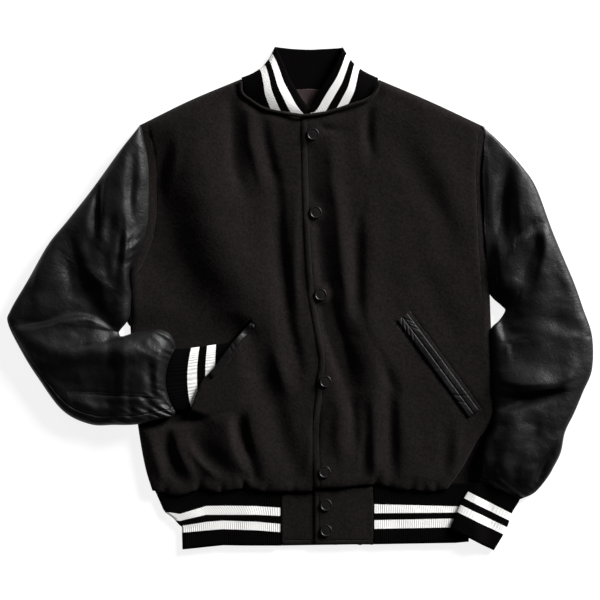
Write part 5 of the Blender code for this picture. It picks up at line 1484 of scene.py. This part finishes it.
def welt(name, path, height, lift, creases, solid, front, end_depth, end_run):
    centre = line(path, WELT_STEP)
    run = np.arange(len(centre)) * WELT_STEP
    across = np.linspace(-1, 1, WELT_COLUMNS)
    grid = []
    for share in across:
        plan = shifted(centre, share * WELT_WIDTH / 2)
        domed = WELT_THICKNESS * (0.55 + 0.45 * (1 - share**4) ** 0.5)
        sunk = sum(crease.depth * np.exp(-(((run - crease.run - crease.slant * share) / crease.width) ** 2))
                   for crease in creases)
        ends = end_depth * (np.exp(-((run / end_run) ** 2)) + np.exp(-(((run[-1] - run) / end_run) ** 2)))
        rest = height(plan)
        grid.append(np.column_stack([plan, rest + lift + domed - np.minimum(sunk, MOST_CREASED) - ends]))
    mesh = cloth_grid(name, np.array(grid))
    if mesh.polygons[0].normal.z < 0:
        mesh.flip_normals()
    piece = dress(thicken(add_piece(name, mesh), WELT_THICKNESS), COWHIDE, "sleeve_leather", solid)
    return piece


beside = WELT_WIDTH / 2 + POCKET_SEAM / 2
welt("leather_welt_left_upper", shifted(LEFT_POCKET, beside), left_front_height, CLOSED_WELT_LIFT,
     UPPER_CREASES, "welt_left_upper", "melton_front_left", *SQUARE_END)
welt("leather_welt_left_lower", shifted(LEFT_POCKET, -beside), left_front_height, CLOSED_WELT_LIFT,
     LOWER_CREASES, "welt_left_lower", "melton_front_left", *SQUARE_END)
beside_mouth = WELT_WIDTH / 2 + MOUTH + OPEN_WELT_BACK
welt("leather_welt_right", shifted(RIGHT_POCKET[:3] + [OPEN_WELT_END], beside_mouth), right_front_height,
     OPEN_WELT_LIFT, RIGHT_CREASES, "welt_right", "melton_front_right", *TUCKED_END)

# -----------------------------------------------------------------------------------------------------------
# Topstitching: bonded black thread, 0.7 mm thick, at 8 stitches to the inch. It holds the armholes, the
# front edge, the pockets and the waistband's ends, and runs in two rows along the forearm's leather seam.
# -----------------------------------------------------------------------------------------------------------
STITCH = 0.0032
STITCH_SHARE = 0.68
THREAD_RADIUS = 0.00036
THREAD_ROUND = 6
FOREARM_SEAM = [(-0.330, -0.1356), (-0.2385, -0.1386), (-0.204, -0.1430)]
FOREARM_ROW = 0.0022
# Along a stitch: how far, how thick as a share of the thread, and how deep it sinks in as a share too.
STITCH_FORM = ((0.0, 0.45, 0.6), (0.2, 1.0, 0.0), (0.8, 1.0, 0.0), (1.0, 0.45, 0.6))
STITCH_AIM = 0.0005


def thread():
    """Bonded nylon thread, black: two plies twisted at 0.9 mm with a low shine."""
    made, tree, out = new_material("bonded_thread")
    place = node(tree, "ShaderNodeTexCoord")
    plies = node(tree, "ShaderNodeTexNoise", {"Vector": place.outputs["Object"], "Scale": 1100.0})
    tone = node(tree, "ShaderNodeMix",
                {0: plies.outputs["Fac"], 6: linear("#0c0a0a"), 7: linear("#1c1919")}, data_type="RGBA")
    shader = node(tree, "ShaderNodeBsdfPrincipled", {"Base Color": tone.outputs[2], "Roughness": 0.45,
                                                     "Specular IOR Level": 0.4})
    tree.links.new(shader.outputs[0], out.inputs[0])
    return made


def resting_on(piece):
    """A height function that reads the face of a piece from above."""
    mesh = piece.data
    tree = BVHTree.FromPolygons([vertex.co for vertex in mesh.vertices],
                                [face.vertices for face in mesh.polygons])

    down = Vector((0.0, 0.0, -1.0))

    def height(points):
        return np.array([tree.ray_cast(Vector((x, y, 1.0)), down)[0].z for x, y in points])

    return height


def stitched(name, rows, material):
    """One joined mesh of stitches: each a short bar of thread with rounded ends, lying along its row."""
    corners, faces = [], []
    for path, height in rows:
        run = np.concatenate([[0], np.cumsum(np.linalg.norm(np.diff(path, axis=0), axis=1))])
        count = int(run[-1] / STITCH)
        starts = (np.arange(count) + (1 - STITCH_SHARE) / 2) * STITCH
        for share, swell, sink in STITCH_FORM:
            at = starts + share * STITCH * STITCH_SHARE
            plan = np.stack([np.interp(at, run, path[:, axis]) for axis in range(2)], axis=1)
            ahead = np.stack([np.interp(at + STITCH_AIM, run, path[:, axis]) for axis in range(2)], axis=1)
            past = np.stack([np.interp(at - STITCH_AIM, run, path[:, axis]) for axis in range(2)], axis=1)
            step = (ahead - past) / np.linalg.norm(ahead - past, axis=1)[:, None]
            level = height(plan) + THREAD_RADIUS * (0.5 - sink)
            ring = []
            for turn in range(THREAD_ROUND):
                angle = 2 * math.pi * turn / THREAD_ROUND
                out = THREAD_RADIUS * swell * math.cos(angle)
                up = THREAD_RADIUS * swell * math.sin(angle)
                x, y = plan[:, 0] - step[:, 1] * out, plan[:, 1] + step[:, 0] * out
                ring.append(np.column_stack([x, y, level + up]))
            corners.append(np.stack(ring, axis=1))
        stack = np.stack(corners[-4:], axis=1)
        corners = corners[:-4]
        for stitch in stack:
            base = sum(len(part) for part in corners)
            corners.append(stitch.reshape(-1, 3))
            for level in range(3):
                for turn in range(THREAD_ROUND):
                    after = (turn + 1) % THREAD_ROUND
                    low, high = base + level * THREAD_ROUND, base + (level + 1) * THREAD_ROUND
                    faces.append((low + turn, low + after, high + after, high + turn))
            faces.append([base + turn for turn in range(THREAD_ROUND)][::-1])
            faces.append([base + 3 * THREAD_ROUND + turn for turn in range(THREAD_ROUND)])
    mesh = bpy.data.meshes.new(name)
    mesh.from_pydata([tuple(corner) for corner in np.concatenate(corners)], [], faces)
    piece = add_piece(name, mesh)
    piece.data.materials.append(material)
    return piece


THREAD = thread()
stitched("stitches_body",
         [(RIGHT_ROWS[0], right_front_height)] + [(row, left_front_height) for row in LEFT_ROWS],
         THREAD)
stitched("stitches_tabs", [(row, right_tab_height) for row in RIGHT_TAB_ROWS]
         + [(row, left_tab_height) for row in LEFT_TAB_ROWS], THREAD)

forearm = resting_on(bpy.data.objects["leather_sleeve_right_lower"])
stitched("stitches_forearm", [(shifted(line(FOREARM_SEAM, CLOTH_STEP), offset), forearm)
                              for offset in (FOREARM_ROW, -FOREARM_ROW)], THREAD)

# -----------------------------------------------------------------------------------------------------------
# Snaps: seven cap snaps, 17 mm across, of brass enamelled black and clenched through the left front and its
# tab. Each cap is flat with a thin rolled rim. The socket and stud behind are hidden, and all stay fastened.
# -----------------------------------------------------------------------------------------------------------
SNAP_HEIGHT = 0.0028
SNAP_SEAT = 0.0002
SNAP_ROUND = 48
# Out from the middle as a share of the radius, and up as a share of the height.
SNAP_PROFILE = [
    (0.0, 0.80), (0.30, 0.79), (0.60, 0.76), (0.78, 0.72), (0.82, 0.74), (0.855, 0.92), (0.89, 1.0),
    (0.93, 0.99), (0.97, 0.88), (0.995, 0.66), (1.0, 0.42), (0.985, 0.18), (0.95, 0.0), (0.0, 0.0),
]
TAB_SNAPS = [(0.038, -0.297), (0.038, -0.334)]


def enamel():
    """Baked black enamel on brass: smooth with a low even gloss, faintly scuffed."""
    made, tree, out = new_material("snap_enamel")
    place = node(tree, "ShaderNodeTexCoord")
    scuffs = node(tree, "ShaderNodeTexNoise",
                  {"Vector": place.outputs["Object"], "Scale": 420.0, "Detail": 4.0})
    gloss = node(tree, "ShaderNodeMapRange",
                 {"Value": scuffs.outputs["Fac"], "From Min": 0.3, "From Max": 0.7,
                                              "To Min": 0.34, "To Max": 0.48})
    skin = node(tree, "ShaderNodeBump",
                {"Height": scuffs.outputs["Fac"], "Strength": 0.1, "Distance": 0.0002})
    shader = node(tree, "ShaderNodeBsdfPrincipled", {
        "Base Color": linear("#0e0b0b"), "Roughness": gloss.outputs["Result"], "Specular IOR Level": 0.4,
        "Normal": skin.outputs["Normal"],
    })
    tree.links.new(shader.outputs[0], out.inputs[0])
    return made


ENAMEL = enamel()
turns = 2 * math.pi * np.arange(SNAP_ROUND) / SNAP_ROUND
for number, (x, y) in enumerate(FRONT_SNAPS + TAB_SNAPS, 1):
    height = left_front_height if number <= len(FRONT_SNAPS) else left_tab_height
    seat = float(np.mean(height(circle((x, y), SNAP_RADIUS, SNAP_ROUND)))) + SNAP_SEAT
    rings = np.array([
        np.column_stack([SNAP_RADIUS * out * np.cos(turns), SNAP_RADIUS * out * np.sin(turns),
                         np.full(SNAP_ROUND, SNAP_HEIGHT * up)])
        for out, up in SNAP_PROFILE[1:-1]
    ])
    mesh = close_ends(cloth_grid(f"cap_snap_{number}", rings, wrap=True))
    mesh.shade_smooth()
    piece = bpy.data.objects.new(f"cap_snap_{number}", mesh)
    bpy.context.scene.collection.objects.link(piece)
    piece.location = (x, y, seat)
    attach(piece, "root")
    dress(piece, ENAMEL, "snap_enamel", f"snap_{number}")
